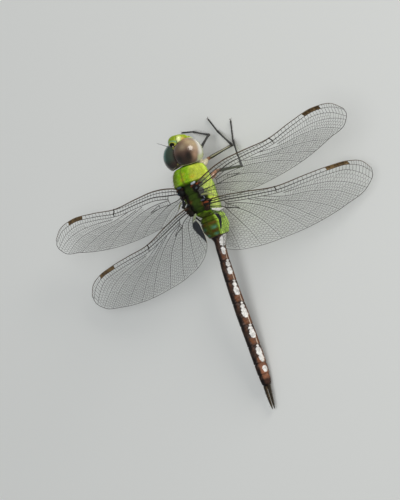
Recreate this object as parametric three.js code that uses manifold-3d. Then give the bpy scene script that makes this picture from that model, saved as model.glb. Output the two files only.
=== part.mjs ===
// A green darner dragonfly, female, at life size, standing on its feet and abdomen tip.
//
// Units are millimetres and +Z is up.  Inside the body the axes are the animal's own:
// +X is its left, +Y runs back along the abdomen and +Z is its back.  The insect is built
// along those axes, then pitched and rolled to the angle at which it stands, and the origin
// is the middle of its bounding box, at floor level.

import * as THREE from 'three';
import { mergeVertices } from 'three/addons/utils/BufferGeometryUtils.js';
import Module from 'manifold-3d';

const wasm = await Module();
wasm.setup();

// ---------------------------------------------------------------- driving dimensions

const DEGREES = Math.PI / 180;

// Stance
const BODY_PITCH = 4 * DEGREES; // head up, about the body's cross axis
const BODY_ROLL = 3 * DEGREES; // left side up
const BODY_HEIGHT = 5.45; // the abdomen's axis over the floor, under the wing roots
const BODY_SHIFT = [0.49, -22.18]; // brings the bounding box's middle over the origin
const THORAX_LIFT = 8.2 * DEGREES; // thorax and head, raised from the abdomen's line
const WAIST = 14.5; // how far back the body bends, at the second segment's end
const HEAD_LIFT = 4 * DEGREES; // the head, raised from the thorax's line
const HEAD_ROLL = 10 * DEGREES; // the crown, turned to the left

// Fit
const GAP = 0.3; // between neighbouring solids
const HALF_GAP = GAP / 2;

// Head
const HEAD_CENTRE = [9.3, 3.3]; // ahead of the wing roots, and over the abdomen's axis
const EYE_RADII = [3.75, 4.1, 4.1]; // across, along, high
const EYE_CENTRE = [-0.6, 2.05, 0.35]; // ahead, left, up from the head's centre
const NAPE_CENTRE = [-8.7, 0, -0.3]; // of the ball that hollows the head's back
const NAPE_RADIUS = 7;
const SKULL_THICKNESS = 0.5; // behind the eyes
const ANTENNA_LENGTH = 4.0;
const ANTENNA_RADIUS = 0.26;
const NECK_RADIUS = 0.9;

// Wings
const WING_THICKNESS = 0.5;
const FOREWING_ROOT = [3.7, 0, 6.0]; // left, ahead, up
const HINDWING_ROOT = [3.9, -4.7, 5.6];

// Thorax
const THORAX_SIDES = 24;

// Legs
const FEMUR_RADIUS = { fore: 0.5, mid: 0.52, hind: 0.55 };
const TIBIA_RADIUS = 0.3;
const TARSUS_RADIUS = 0.27;
const LEG_SIDES = 8;

// Abdomen
const ABDOMEN_SIDES = 16;
const CERCUS_LENGTH = 6.7;
const CERCUS_WIDTH = 1.14;
const CERCUS_THICKNESS = 0.5;

// ---------------------------------------------------------------- materials

const material = (name, color, roughness, metalness = 0) => {
	const made = new THREE.MeshStandardMaterial( { color, roughness, metalness } );
	made.name = name;
	return made;
};

const MATERIALS = {
	thoraxGreen: material( 'thorax_green', 0x8aa83a, 0.5 ),
	faceGreen: material( 'face_green', 0xb5bd5c, 0.4 ),
	eyeBrown: material( 'eye_brown', 0x6e574c, 0.15 ),
	abdomenGreen: material( 'abdomen_green', 0x5f7030, 0.5 ),
	abdomenBrown: material( 'abdomen_brown', 0x6d4433, 0.45 ),
	legBlack: material( 'leg_black', 0x1d1d1a, 0.3 ),
	legBase: material( 'leg_base', 0xa87c5c, 0.45 ),
	wingClear: material( 'wing_clear', 0xb9c4bd, 0.2 ),
	horn: material( 'horn_dark', 0x2b2a20, 0.35 ),
};

// ---------------------------------------------------------------- solids

// A point in the animal's own terms: how far ahead, to the left and up.
const point = ( ahead, left, up ) => new THREE.Vector3( left, - ahead, up );

// A closed solid from rings of equal length, each closed by a fan about its middle.
function loft( rings ) {

	const sides = rings[ 0 ].length;
	const last = rings.length - 1;
	const sumOf = ( ring ) => ring.reduce( ( sum, p ) => sum.add( p ), new THREE.Vector3() );
	const middle = ( ring ) => sumOf( ring ).divideScalar( sides );
	const points = [ ...rings.flat(), middle( rings[ 0 ] ), middle( rings[ last ] ) ];
	const firstCentre = rings.length * sides;
	const index = [];

	for ( let i = 0; i < sides; i ++ ) {

		const j = ( i + 1 ) % sides;
		index.push( firstCentre, j, i );
		index.push( firstCentre + 1, last * sides + i, last * sides + j );

		for ( let r = 0; r < last; r ++ ) {

			const a = r * sides;
			const b = a + sides;
			index.push( a + i, a + j, b + j );
			index.push( a + i, b + j, b + i );

		}

	}

	const geometry = new THREE.BufferGeometry().setFromPoints( points );
	geometry.setIndex( index );
	return facingOut( geometry );

}

// Turns every face over where the enclosed volume comes out negative.
function facingOut( geometry ) {

	const position = geometry.attributes.position;
	const corner = [ 0, 1, 2 ].map( () => new THREE.Vector3() );
	const index = Array.from( geometry.index.array );
	let volume = 0;

	for ( let t = 0; t < index.length; t += 3 ) {

		corner.forEach( ( c, k ) => c.fromBufferAttribute( position, index[ t + k ] ) );
		volume += corner[ 0 ].dot( corner[ 1 ].clone().cross( corner[ 2 ] ) );

	}

	if ( volume < 0 ) {

		geometry.setIndex( index.reverse() );

	}

	return geometry;

}

// A ring across the body: boxy where power is high, leaning back by lean, and narrowed
// to the share keel of its width at the bottom.
function bodyRing( { back, width, top, bottom, power = 2.2, lean = 0, keel = 1, sides = ABDOMEN_SIDES } ) {

	const ring = [];
	const centre = ( top + bottom ) / 2;
	const height = ( top - bottom ) / 2;
	const squared = ( value ) => Math.sign( value ) * Math.abs( value ) ** ( 2 / power );

	for ( let i = 0; i < sides; i ++ ) {

		const angle = ( i + 0.5 ) / sides * 2 * Math.PI;
		const up = centre + height * squared( Math.sin( angle ) );
		const fullness = THREE.MathUtils.smoothstep( up, bottom, centre + height / 2 );
		const narrowing = THREE.MathUtils.lerp( keel, 1, fullness );
		const across = width * narrowing * squared( Math.cos( angle ) );
		ring.push( new THREE.Vector3( across, back + up * Math.tan( lean ), up ) );

	}

	return ring;

}

// A straight limb from one joint to the next: profile holds [ way along, radius ] steps.
function limb( from, to, profile, options = {} ) {

	const { sides = LEG_SIDES, flatness = 1, start = HALF_GAP, end = HALF_GAP } = options;
	const along = to.clone().sub( from );
	const length = along.length();
	along.normalize();
	const upright = Math.abs( along.z ) > 0.95;
	const reference = new THREE.Vector3( 0, upright ? 1 : 0, upright ? 0 : 1 );
	const side = reference.cross( along ).normalize();
	const rise = along.clone().cross( side );

	return loft( profile.map( ( [ way, radius ] ) => {

		const centre = from.clone().addScaledVector( along, start + way * ( length - start - end ) );
		return Array.from( { length: sides }, ( _, i ) => {

			const angle = ( i + 0.5 ) / sides * 2 * Math.PI;
			return centre.clone()
				.addScaledVector( side, radius * Math.cos( angle ) )
				.addScaledVector( rise, radius * flatness * Math.sin( angle ) );

		} );

	} ) );

}

// A profile's radii multiplied by size and grown by extra.
const scaled = ( profile, size, extra = 0 ) => (
	profile.map( ( [ way, radius ] ) => [ way, radius * size + extra ] )
);

// An ellipsoid, swollen towards a box where power is over 2 and grown all round by extra.
function blob( centre, radii, { power = 2, extra = 0, around = 14, along = 9 } = {} ) {

	const geometry = new THREE.SphereGeometry( 1, around, along );
	const position = geometry.attributes.position;
	const p = new THREE.Vector3();

	for ( let i = 0; i < position.count; i ++ ) {

		p.fromBufferAttribute( position, i );
		const sum = p.toArray().reduce( ( total, value ) => total + Math.abs( value ) ** power, 0 );
		position.setXYZ( i, ...p.divideScalar( sum ** ( 1 / power ) ).toArray() );

	}

	geometry.scale( ...radii.map( ( radius ) => radius + extra ) );
	geometry.translate( ...centre.toArray() );
	return toManifold( geometry );

}

function toManifold( geometry ) {

	const bare = geometry.clone();
	bare.deleteAttribute( 'normal' );
	bare.deleteAttribute( 'uv' );
	const merged = mergeVertices( bare, 1e-5 );
	return new wasm.Manifold( new wasm.Mesh( {
		numProp: 3,
		vertProperties: new Float32Array( merged.attributes.position.array ),
		triVerts: new Uint32Array( merged.index.array ),
	} ) );

}

function toGeometry( manifold ) {

	const mesh = manifold.getMesh();
	const geometry = new THREE.BufferGeometry();
	geometry.setAttribute( 'position', new THREE.BufferAttribute( mesh.vertProperties, 3 ) );
	geometry.setIndex( new THREE.BufferAttribute( mesh.triVerts, 1 ) );
	return geometry;

}

const joined = ( solids ) => solids.reduce( ( sum, next ) => sum.add( next ) );

// ---------------------------------------------------------------- the scene graph

const dragonfly = new THREE.Group();
const body = new THREE.Group(); // the abdomen's line
const foreBody = new THREE.Group(); // thorax, prothorax and the abdomen's first two segments
const head = new THREE.Group();

dragonfly.position.set( ...BODY_SHIFT, 0 );
body.position.z = BODY_HEIGHT;
body.rotation.set( - BODY_PITCH, - BODY_ROLL, 0 );
foreBody.rotation.x = - THORAX_LIFT;
foreBody.position.copy( point( - WAIST, 0, 0 ) ).sub( point( - WAIST, 0, 0 ).applyEuler( foreBody.rotation ) );
head.position.copy( point( HEAD_CENTRE[ 0 ], 0, HEAD_CENTRE[ 1 ] ) );
head.rotation.set( - HEAD_LIFT, HEAD_ROLL, 0 );
dragonfly.add( body );
body.add( foreBody );
foreBody.add( head );
dragonfly.updateMatrixWorld( true );

function addPart( group, name, geometry, look ) {

	const mesh = new THREE.Mesh( geometry, look );
	mesh.name = name;
	group.add( mesh );
	return mesh;

}

const SIDES = [ { name: 'left', sign: 1 }, { name: 'right', sign: - 1 } ];

// ---------------------------------------------------------------- head

// The face's pieces, from the top down, then the skull behind them and the eyes over all.
// Each is cut clear of those before it.
const FACE = [
	{
		name: 'frons',
		blobs: [
			{ at: [ 3.1, 0, 0.5 ], radii: [ 2.55, 1.9, 1.5 ], power: 2.5 },
			{ at: [ 1.75, 0, 1.75 ], radii: [ 0.95, 0.9, 0.75 ] },
		],
	},
	{
		name: 'clypeus',
		blobs: [ { at: [ 2.75, 0, - 1.45 ], radii: [ 2.5, 1.5, 1.15 ], power: 2.6 } ],
	},
	{
		name: 'labrum',
		blobs: [ { at: [ 2.55, 0, - 3.0 ], radii: [ 2.1, 1.35, 0.95 ], power: 2.4 } ],
	},
	{
		name: 'labium',
		blobs: [ { at: [ 0.9, 0, - 3.6 ], radii: [ 2.1, 2.3, 0.75 ], power: 2.3 } ],
	},
];

// Behind the face the skull is a block between the eyes and a thin dish behind them.
const SKULL_BLOCK = { at: [ - 0.9, 0, - 1.7 ], radii: [ 2.4, 3.6, 1.9 ] };
const SKULL_OUTLINE = { at: [ - 0.75, 0, 0.3 ], radii: [ 5.7, 4.1, 4.1 ] };

const ANTENNA_PROFILE = [ [ 0, 1.3 ], [ 0.12, 1.3 ], [ 0.2, 1 ], [ 0.8, 1 ], [ 1, 0.96 ] ];

const nape = ( extra ) => (
	blob( point( ...NAPE_CENTRE ), [ NAPE_RADIUS, NAPE_RADIUS, NAPE_RADIUS ], { extra, around: 16, along: 12 } )
);

function addHead() {

	const shapeOf = ( blobs, extra ) => (
		joined( blobs.map( ( { at, radii, power } ) => blob( point( ...at ), radii, { power, extra } ) ) )
	);
	const cuts = [];

	const addInTurn = ( name, shape, grown ) => {

		const solid = cuts.reduce( ( left, cut ) => left.subtract( cut ), shape );
		addPart( head, name, toGeometry( largest( solid ) ), MATERIALS.faceGreen );
		cuts.push( grown );

	};

	FACE.forEach( ( { name, blobs } ) => addInTurn( name, shapeOf( blobs, 0 ), shapeOf( blobs, GAP ) ) );

	const skull = ( extra ) => shapeOf( [ SKULL_BLOCK ], extra )
		.add( shapeOf( [ SKULL_OUTLINE ], 0 ).intersect( nape( SKULL_THICKNESS + extra ) ) );
	const skullCut = skull( GAP ).add( nape( SKULL_THICKNESS + GAP ) );
	addInTurn( 'head_capsule', skull( 0 ).subtract( nape( 0 ) ), skullCut );

	for ( const { name, sign } of SIDES ) {

		const [ ahead, left, up ] = EYE_CENTRE;
		const ball = blob( point( ahead, sign * left, up ), EYE_RADII, { around: 18, along: 12 } );
		const half = ball.trimByPlane( [ sign, 0, 0 ], HALF_GAP );
		const eye = cuts.reduce( ( rest, cut ) => rest.subtract( cut ), half );
		addPart( head, `eye_${ name }`, toGeometry( largest( eye ) ), MATERIALS.eyeBrown );

		const socket = point( 3.0, sign * 1.35, 2.15 );
		const tip = socket.clone().add( point( 2.6, sign * 2.3, 2.0 ).setLength( ANTENNA_LENGTH ) );
		const shape = limb( socket, tip, scaled( ANTENNA_PROFILE, ANTENNA_RADIUS ), { sides: 6 } );
		addPart( head, `antenna_${ name }`, shape, MATERIALS.legBlack );

	}

}

// A short stalk from the prothorax into the hollow of the head's back.
function addNeck() {

	const stalkEnds = [ point( 8.0, 0, 1.35 ), point( 5.95, 0, 1.2 ) ];
	const stalk = limb( ...stalkEnds, [ [ 0, NECK_RADIUS ], [ 1, NECK_RADIUS ] ], { sides: 12 } );
	const hollow = nape( - GAP ).transform( head.matrix.elements );
	addPart( foreBody, 'neck', toGeometry( toManifold( stalk ).intersect( hollow ) ), MATERIALS.legBase );

}

// The biggest of the pieces that a cut leaves.
function largest( solid ) {

	return solid.decompose().reduce( ( best, next ) => ( next.volume() > best.volume() ? next : best ) );

}

// ---------------------------------------------------------------- thorax

// The front is steep, the wing platform high and square, and the belly narrow.
const THORAX_SECTIONS = [
	{ back: - 5.3, width: 2.7, top: 5.7, bottom: - 0.9, power: 2.2, keel: 0.72, lean: - 0.1 },
	{ back: - 5.05, width: 3.5, top: 6.6, bottom: - 1.4, power: 2.4, keel: 0.68, lean: - 0.1 },
	{ back: - 4.3, width: 4.35, top: 7.4, bottom: - 1.8, power: 2.6, keel: 0.62, lean: - 0.1 },
	{ back: - 3.2, width: 4.8, top: 7.8, bottom: - 2.0, power: 2.9, keel: 0.58, lean: - 0.08 },
	{ back: - 1.3, width: 5.05, top: 8.1, bottom: - 2.3, power: 3.1, keel: 0.53, lean: - 0.03 },
	{ back: 0.8, width: 4.75, top: 7.8, bottom: - 3.1, power: 3.0, keel: 0.5 },
	{ back: 3.2, width: 4.35, top: 7.1, bottom: - 3.3, power: 2.7, keel: 0.52 },
	{ back: 5.6, width: 4.0, top: 6.4, bottom: - 3.1, power: 2.4, keel: 0.6 },
	{ back: 7.3, width: 3.5, top: 5.5, bottom: - 2.6, power: 2.3, keel: 0.7 },
	{ back: 8.35, width: 2.8, top: 4.5, bottom: - 1.8, power: 2.1, keel: 0.8 },
];

// The sections joined up, and grown all round by extra.
function bodySolid( sections, extra ) {

	const last = sections.length - 1;
	return loft( sections.map( ( section, i ) => bodyRing( {
		...section,
		back: section.back + ( i === 0 ? - extra : 0 ) + ( i === last ? extra : 0 ),
		width: section.width + extra,
		top: section.top + extra,
		bottom: section.bottom - extra,
		sides: THORAX_SIDES,
	} ) ) );

}

const thoraxSolid = ( extra ) => bodySolid( THORAX_SECTIONS, extra );
const prothoraxSolid = ( extra ) => bodySolid( PROTHORAX_SECTIONS, extra );

const PROTHORAX_SECTIONS = [
	{ back: - 6.15, width: 1.2, top: 1.9, bottom: - 1.0, power: 2, lean: 0.2 },
	{ back: - 5.95, width: 1.8, top: 2.4, bottom: - 1.9, power: 2, lean: 0.2 },
	{ back: - 5.4, width: 2.1, top: 2.7, bottom: - 2.1, power: 2, lean: 0.2 },
	{ back: - 4.9, width: 1.9, top: 2.5, bottom: - 1.9, power: 2, lean: 0.2 },
];

// What lies beside the thorax and the prothorax keeps clear of these.
const THORAX_CLEARANCE = toManifold( thoraxSolid( GAP ) ).transform( foreBody.matrixWorld.elements );

const PROTHORAX_CLEARANCE = toManifold( prothoraxSolid( GAP ) ).transform( foreBody.matrixWorld.elements );

// What is left of a shape when the clearances are cut from it.
const clearOf = ( clearances, geometry ) => (
	toGeometry( largest( clearances.reduce( ( rest, cut ) => rest.subtract( cut ), toManifold( geometry ) ) ) )
);

function addThorax() {

	addPart( foreBody, 'thorax', thoraxSolid( 0 ), MATERIALS.thoraxGreen );
	const prothorax = clearOf( [ toManifold( thoraxSolid( GAP ) ) ], prothoraxSolid( 0 ) );
	addPart( foreBody, 'prothorax', prothorax, MATERIALS.thoraxGreen );

}

// ---------------------------------------------------------------- abdomen

// The abdomen's axis over its own straight line: up behind the waist, then down to the tip.
const archAt = ( back ) => (
	1.5 + 0.9 * THREE.MathUtils.smoothstep( back, 14.4, 18.5 ) - 2.65 * THREE.MathUtils.smoothstep( back, 22, 56 )
);

// Each segment: its end, and the half-width and half-height at its front, middle and back.
const SEGMENTS = [
	{ end: 10.0, halfWidths: [ 2.9, 3.3, 3.4 ], halfHeights: [ 3.1, 3.4, 3.5 ] },
	{ end: 14.35, halfWidths: [ 3.5, 3.65, 2.6 ], halfHeights: [ 3.5, 3.5, 2.5 ] },
	{ end: 21.4, halfWidths: [ 2.25, 1.35, 1.35 ], halfHeights: [ 2.25, 1.35, 1.3 ] },
	{ end: 27.1, halfWidths: [ 1.4, 1.5, 1.55 ], halfHeights: [ 1.3, 1.4, 1.4 ] },
	{ end: 33.1, halfWidths: [ 1.55, 1.6, 1.65 ], halfHeights: [ 1.4, 1.45, 1.5 ] },
	{ end: 39.3, halfWidths: [ 1.65, 1.75, 1.75 ], halfHeights: [ 1.5, 1.55, 1.55 ] },
	{ end: 44.9, halfWidths: [ 1.75, 1.75, 1.75 ], halfHeights: [ 1.55, 1.55, 1.55 ] },
	{ end: 49.8, halfWidths: [ 1.75, 1.75, 1.7 ], halfHeights: [ 1.55, 1.55, 1.5 ] },
	{ end: 52.8, halfWidths: [ 1.65, 1.65, 1.55 ], halfHeights: [ 1.5, 1.5, 1.4 ] },
	{ end: 55.5, halfWidths: [ 1.5, 1.45, 1.2 ], halfHeights: [ 1.35, 1.25, 1.0 ] },
];
const ABDOMEN_START = 8.65;
const LAST_RAISED_SEGMENT = 2; // the first two lie in the thorax's line
const RAISED_AXIS = 1.5; // their own axis, over that line

function addAbdomen() {

	let start = ABDOMEN_START;

	SEGMENTS.forEach( ( { end, halfWidths, halfHeights }, i ) => {

		const number = i + 1;
		const raised = number <= LAST_RAISED_SEGMENT;
		const from = start + HALF_GAP;
		const to = end - HALF_GAP;
		const rings = [ 0, 0.08, 0.5, 0.92, 1 ].map( ( way ) => {

			const back = from + way * ( to - from );
			const half = ( sizes ) => ( way < 0.5
				? THREE.MathUtils.lerp( sizes[ 0 ], sizes[ 1 ], way * 2 )
				: THREE.MathUtils.lerp( sizes[ 1 ], sizes[ 2 ], way * 2 - 1 ) );
			const rounded = way === 0 || way === 1 ? 0.93 : 1;
			const centre = raised ? RAISED_AXIS : archAt( back );
			const height = half( halfHeights ) * rounded;
			const lean = number === LAST_RAISED_SEGMENT + 1 ? THORAX_LIFT * Math.max( 0, 1 - way * 2 ) : 0;
			return bodyRing( {
				back, lean,
				width: half( halfWidths ) * rounded,
				top: centre + height,
				bottom: centre - height,
			} );

		} );
		const group = raised ? foreBody : body;
		const shape = pressedFlat( loft( rings ), group );
		const look = raised ? MATERIALS.abdomenGreen : MATERIALS.abdomenBrown;
		addPart( group, `abdomen_segment_${ number }`, shape, look );
		start = end;

	} );

	for ( const { name, sign } of SIDES ) addCercus( name, sign, start );
	addPart( body, 'epiproct', limb(
		point( - start - 0.05, 0, archAt( start ) - 0.5 ),
		point( - start - 1.6, 0, archAt( start ) - 0.4 ),
		[ [ 0, 0.45 ], [ 0.6, 0.45 ], [ 1, 0.3 ] ],
		{ flatness: 0.6 },
	), MATERIALS.horn );

}

// Lays whatever is under the floor's level flat on it.
function pressedFlat( geometry, group ) {

	const toFloor = group.matrixWorld;
	const toGroup = toFloor.clone().invert();
	const position = geometry.attributes.position;
	const p = new THREE.Vector3();

	for ( let i = 0; i < position.count; i ++ ) {

		p.fromBufferAttribute( position, i ).applyMatrix4( toFloor );
		if ( p.z < 0 ) p.z = 0;
		position.setXYZ( i, ...p.applyMatrix4( toGroup ).toArray() );

	}

	return geometry;

}

const CERCUS_PROFILE = [ [ 0, 0.6 ], [ 0.12, 0.98 ], [ 0.35, 0.9 ], [ 0.6, 0.74 ], [ 0.85, 0.55 ], [ 1, 0.28 ] ];

// A leaf-shaped appendage: narrow at its root, widest near it, and drawn in to its tip.
function addCercus( name, sign, start ) {

	const root = point( - start - 0.02, sign * 0.68, archAt( start ) + 0.1 );
	const tip = point( - start - CERCUS_LENGTH, sign * 0.34, archAt( start ) + 0.1 );
	const flatness = CERCUS_THICKNESS / CERCUS_WIDTH;
	const shape = limb( root, tip, scaled( CERCUS_PROFILE, CERCUS_WIDTH / 2 ), { flatness, end: 0 } );
	addPart( body, `cercus_${ name }`, shape, MATERIALS.horn );

}

// ---------------------------------------------------------------- wings

// Outlines run out along the leading edge and back along the trailing edge, as
// [ out from the root, back from the leading edge's line ].
const FOREWING_OUTLINE = {
	leading: [
		[ - 0.6, 0.1 ], [ 3.5, - 0.9 ], [ 9.5, - 1.7 ], [ 16, - 0.9 ], [ 25.5, 0.5 ], [ 34, 0.25 ],
		[ 42.5, 0.6 ], [ 47.8, 2.5 ],
	],
	trailing: [
		[ 50.3, 5.6 ], [ 48.6, 8.5 ], [ 42, 9.6 ], [ 33, 10.4 ], [ 23, 10.1 ], [ 13, 8.8 ], [ 6, 7.2 ],
		[ 2.2, 5.0 ], [ - 0.6, 3.1 ],
	],
};
const HINDWING_OUTLINE = {
	leading: [
		[ - 0.6, 0 ], [ 4, 0 ], [ 10, 0.5 ], [ 20.5, 1.6 ], [ 29, 0.9 ], [ 37, 0.4 ], [ 42.5, 0.5 ], [ 46.6, 1.7 ],
	],
	trailing: [
		[ 48.8, 4.6 ], [ 46.4, 8.2 ], [ 39, 11.3 ], [ 30, 13.6 ], [ 20, 14.9 ], [ 10, 15.2 ], [ 3.6, 14.4 ],
		[ - 0.6, 12.7 ], [ - 2.6, 9.8 ], [ - 2.5, 6.8 ], [ - 1.3, 4.0 ], [ - 0.6, 3.0 ],
	],
};

const FOREWING = { pair: 'forewing', root: FOREWING_ROOT, outline: FOREWING_OUTLINE };
const HINDWING = { pair: 'hindwing', root: HINDWING_ROOT, outline: HINDWING_OUTLINE };

// Each wing's sweep forward, droop and trailing-edge-down twist, in degrees.
const WINGS = [
	{ ...FOREWING, side: 'left', sweep: 8.1, droop: 8.4, twist: 4.4 },
	{ ...FOREWING, side: 'right', sweep: 10.3, droop: - 1.4, twist: 6.5 },
	{ ...HINDWING, side: 'left', sweep: - 8.0, droop: 13.0, twist: 4.4 },
	{ ...HINDWING, side: 'right', sweep: - 3.9, droop: 7.3, twist: 0.4 },
];

// The wing's own axes in the body: out along the leading edge, back, and the upper face.
function wingBasis( sign, { sweep, droop, twist } ) {

	const [ forward, down, turn ] = [ sweep, droop, twist ].map( ( angle ) => angle * DEGREES );
	const level = new THREE.Vector3( sign * Math.cos( forward ), - Math.sin( forward ), 0 );
	const out = level.multiplyScalar( Math.cos( down ) ).setZ( - Math.sin( down ) );
	const back = new THREE.Vector3( 0, 1, 0 ).addScaledVector( out, - out.y ).normalize();
	const face = out.clone().cross( back ).multiplyScalar( sign );
	const chord = back.clone().multiplyScalar( Math.cos( turn ) ).addScaledVector( face, - Math.sin( turn ) );
	const upper = out.clone().cross( chord );
	return new THREE.Matrix4().makeBasis( out, chord, upper );

}

function addWing( wing ) {

	const outline = new THREE.Shape();
	const { leading, trailing } = wing.outline;
	const points = [ ...leading, ...trailing ].map( ( p ) => new THREE.Vector2( ...p ) );
	outline.moveTo( ...points[ 0 ].toArray() );
	outline.splineThru( points.slice( 1 ) );
	const extrusion = { depth: WING_THICKNESS, bevelEnabled: false, curveSegments: 2 };
	const plate = new THREE.ExtrudeGeometry( outline, extrusion );
	plate.translate( 0, 0, - WING_THICKNESS / 2 );

	const group = new THREE.Group();
	const [ left, ahead, up ] = wing.root;
	const sign = wing.side === 'left' ? 1 : - 1;
	const root = point( ahead, sign * left, up ).applyMatrix4( foreBody.matrix );
	group.applyMatrix4( wingBasis( sign, wing ).setPosition( root ) );
	body.add( group );
	group.updateWorldMatrix( true, false );
	const clearance = THORAX_CLEARANCE.transform( group.matrixWorld.clone().invert().elements );
	addPart( group, `${ wing.pair }_${ wing.side }`, clearOf( [ clearance ], plate ), MATERIALS.wingClear );

}

// ---------------------------------------------------------------- legs

// Where each leg leaves its coxa, in the thorax: how far ahead, out and up.
const HIPS = { fore: [ 8.2, 1.0, - 2.1 ], mid: [ 5.6, 1.7, - 3.3 ], hind: [ 1.9, 2.6, - 4.0 ] };

// Knees, ankles and toes over the floor, before the shift to the origin.  The right legs
// reach forward together, and the left ones stand spread.
const LEGS = [
	{ name: 'fore', side: 'right', knee: [ - 1.8, - 12.6, 2.6 ], ankle: [ 5.0, - 15.7 ], toe: [ 8.9, - 16.7 ] },
	{ name: 'mid', side: 'right', knee: [ - 9.5, - 7.3, 3.5 ], ankle: [ - 3.1, - 13.4 ], toe: [ - 0.8, - 17.5 ] },
	{ name: 'hind', side: 'right', knee: [ - 12.5, - 0.6, 5.4 ], ankle: [ - 7.6, - 9.4 ], toe: [ - 8.3, - 14.8 ] },
	{ name: 'fore', side: 'left', knee: [ 8.5, - 9.3, 6.9 ], ankle: [ 7.0, - 10.8 ], toe: [ 8.6, - 14.2 ] },
	{ name: 'mid', side: 'left', knee: [ 7.9, 1.2, 6.0 ], ankle: [ 10.9, - 4.6 ], toe: [ 11.3, - 9.2 ] },
	{ name: 'hind', side: 'left', knee: [ 8.8, 4.0, 7.0 ], ankle: [ 5.9, 11.9 ], toe: [ 4.4, 17.2 ] },
];
const COXA_PROFILE = [ [ 0, 0.9 ], [ 0.5, 1 ], [ 1, 0.7 ] ];
const FEMUR_PROFILE = [ [ 0, 0.8 ], [ 0.08, 1.1 ], [ 0.3, 1 ], [ 0.85, 0.8 ], [ 0.96, 0.9 ], [ 1, 0.6 ] ];
const TIBIA_PROFILE = [ [ 0, 0.95 ], [ 0.06, 1.25 ], [ 0.2, 1 ], [ 0.92, 0.9 ], [ 1, 0.85 ] ];
const TARSUS_PROFILE = [ [ 0, 0.95 ], [ 0.3, 1 ], [ 0.8, 0.95 ], [ 0.92, 1.5 ], [ 1, 1.3 ] ];
const KNEE_CLEARANCE = 1.3; // the tibia's start, in femur radii from the knee
const ANKLE_HEIGHT = 0.5;
const TOE_HEIGHT = 0.25;
const COXA_TOP = { fore: [ 2.6, 1.6 ], mid: [ 1.3, 2.5 ], hind: [ 1.3, 2.5 ] }; // behind its end, and over it
const COXA_RADIUS = 0.75;

function addLeg( { name, side, knee, ankle, toe } ) {

	const sign = side === 'left' ? 1 : - 1;
	const [ ahead, out, up ] = HIPS[ name ];
	const toFloor = ( p ) => p.applyMatrix4( foreBody.matrix ).applyMatrix4( body.matrix );
	const hipAt = toFloor( point( ahead, sign * out, up ) );
	const [ behind, above ] = COXA_TOP[ name ];
	const topAt = toFloor( point( ahead - behind, sign * out * 0.7, up + above ) );
	const kneeAt = new THREE.Vector3( ...knee );
	const ankleAt = new THREE.Vector3( ...ankle, ANKLE_HEIGHT );
	const toeAt = new THREE.Vector3( ...toe, TOE_HEIGHT );
	const femur = FEMUR_RADIUS[ name ];
	const node = ( piece ) => `${ piece }_${ name }_${ side }`;
	const femurSolid = ( extra ) => limb( hipAt, kneeAt, scaled( FEMUR_PROFILE, femur, extra ) );
	const coxa = limb( topAt, hipAt, scaled( COXA_PROFILE, COXA_RADIUS ), { end: femur } );
	const clearances = [ THORAX_CLEARANCE, PROTHORAX_CLEARANCE ]
		.map( ( solid ) => solid.transform( dragonfly.matrixWorld.clone().invert().elements ) );
	clearances.push( toManifold( femurSolid( GAP ) ) );

	addPart( dragonfly, node( 'coxa' ), clearOf( clearances, coxa ), MATERIALS.legBase );
	addPart( dragonfly, node( 'femur' ), femurSolid( 0 ), MATERIALS.legBlack );
	addPart( dragonfly, node( 'tibia' ), limb(
		kneeAt, ankleAt, scaled( TIBIA_PROFILE, TIBIA_RADIUS ), { start: femur * KNEE_CLEARANCE },
	), MATERIALS.legBlack );
	const tarsus = limb(
		ankleAt, toeAt, scaled( TARSUS_PROFILE, TARSUS_RADIUS ), { start: TIBIA_RADIUS + HALF_GAP, end: 0 },
	);
	addPart( dragonfly, node( 'tarsus' ), pressedFlat( tarsus, dragonfly ), MATERIALS.legBlack );

}

// ---------------------------------------------------------------- assembly

addHead();
addNeck();
addThorax();
addAbdomen();
WINGS.forEach( addWing );
LEGS.forEach( addLeg );

export default dragonfly;
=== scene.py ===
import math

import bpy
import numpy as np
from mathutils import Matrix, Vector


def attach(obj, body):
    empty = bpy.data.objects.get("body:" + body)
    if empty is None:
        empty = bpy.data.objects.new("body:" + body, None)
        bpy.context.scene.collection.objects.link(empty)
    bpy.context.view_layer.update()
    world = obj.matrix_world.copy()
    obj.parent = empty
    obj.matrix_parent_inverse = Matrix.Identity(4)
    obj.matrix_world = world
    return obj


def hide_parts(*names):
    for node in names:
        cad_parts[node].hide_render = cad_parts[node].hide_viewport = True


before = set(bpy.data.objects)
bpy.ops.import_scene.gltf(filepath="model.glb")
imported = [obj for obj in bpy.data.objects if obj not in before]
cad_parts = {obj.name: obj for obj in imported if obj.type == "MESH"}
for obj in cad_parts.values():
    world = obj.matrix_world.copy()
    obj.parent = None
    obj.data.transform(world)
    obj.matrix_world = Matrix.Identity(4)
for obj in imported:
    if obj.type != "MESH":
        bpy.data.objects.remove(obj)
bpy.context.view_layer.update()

# A green darner dragonfly.  Shapes are worked out in millimetres in the animal's own terms:
# x to its left, y back along the abdomen and z up, in the frames of the body, the fore body,
# the head or a wing, and go into the row's frame in metres when a mesh is made.
# A colour is linear red, green and blue.

MM = 0.001
rng = np.random.default_rng(7)

# ---------------- frames


def turn_x(degrees):
    c, s = math.cos(math.radians(degrees)), math.sin(math.radians(degrees))
    return np.array([[1, 0, 0], [0, c, -s], [0, s, c]])


def turn_y(degrees):
    c, s = math.cos(math.radians(degrees)), math.sin(math.radians(degrees))
    return np.array([[c, 0, s], [0, 1, 0], [-s, 0, c]])


def placed(rotation, origin):
    made = np.eye(4)
    made[:3, :3] = rotation
    made[:3, 3] = origin
    return made


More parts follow.
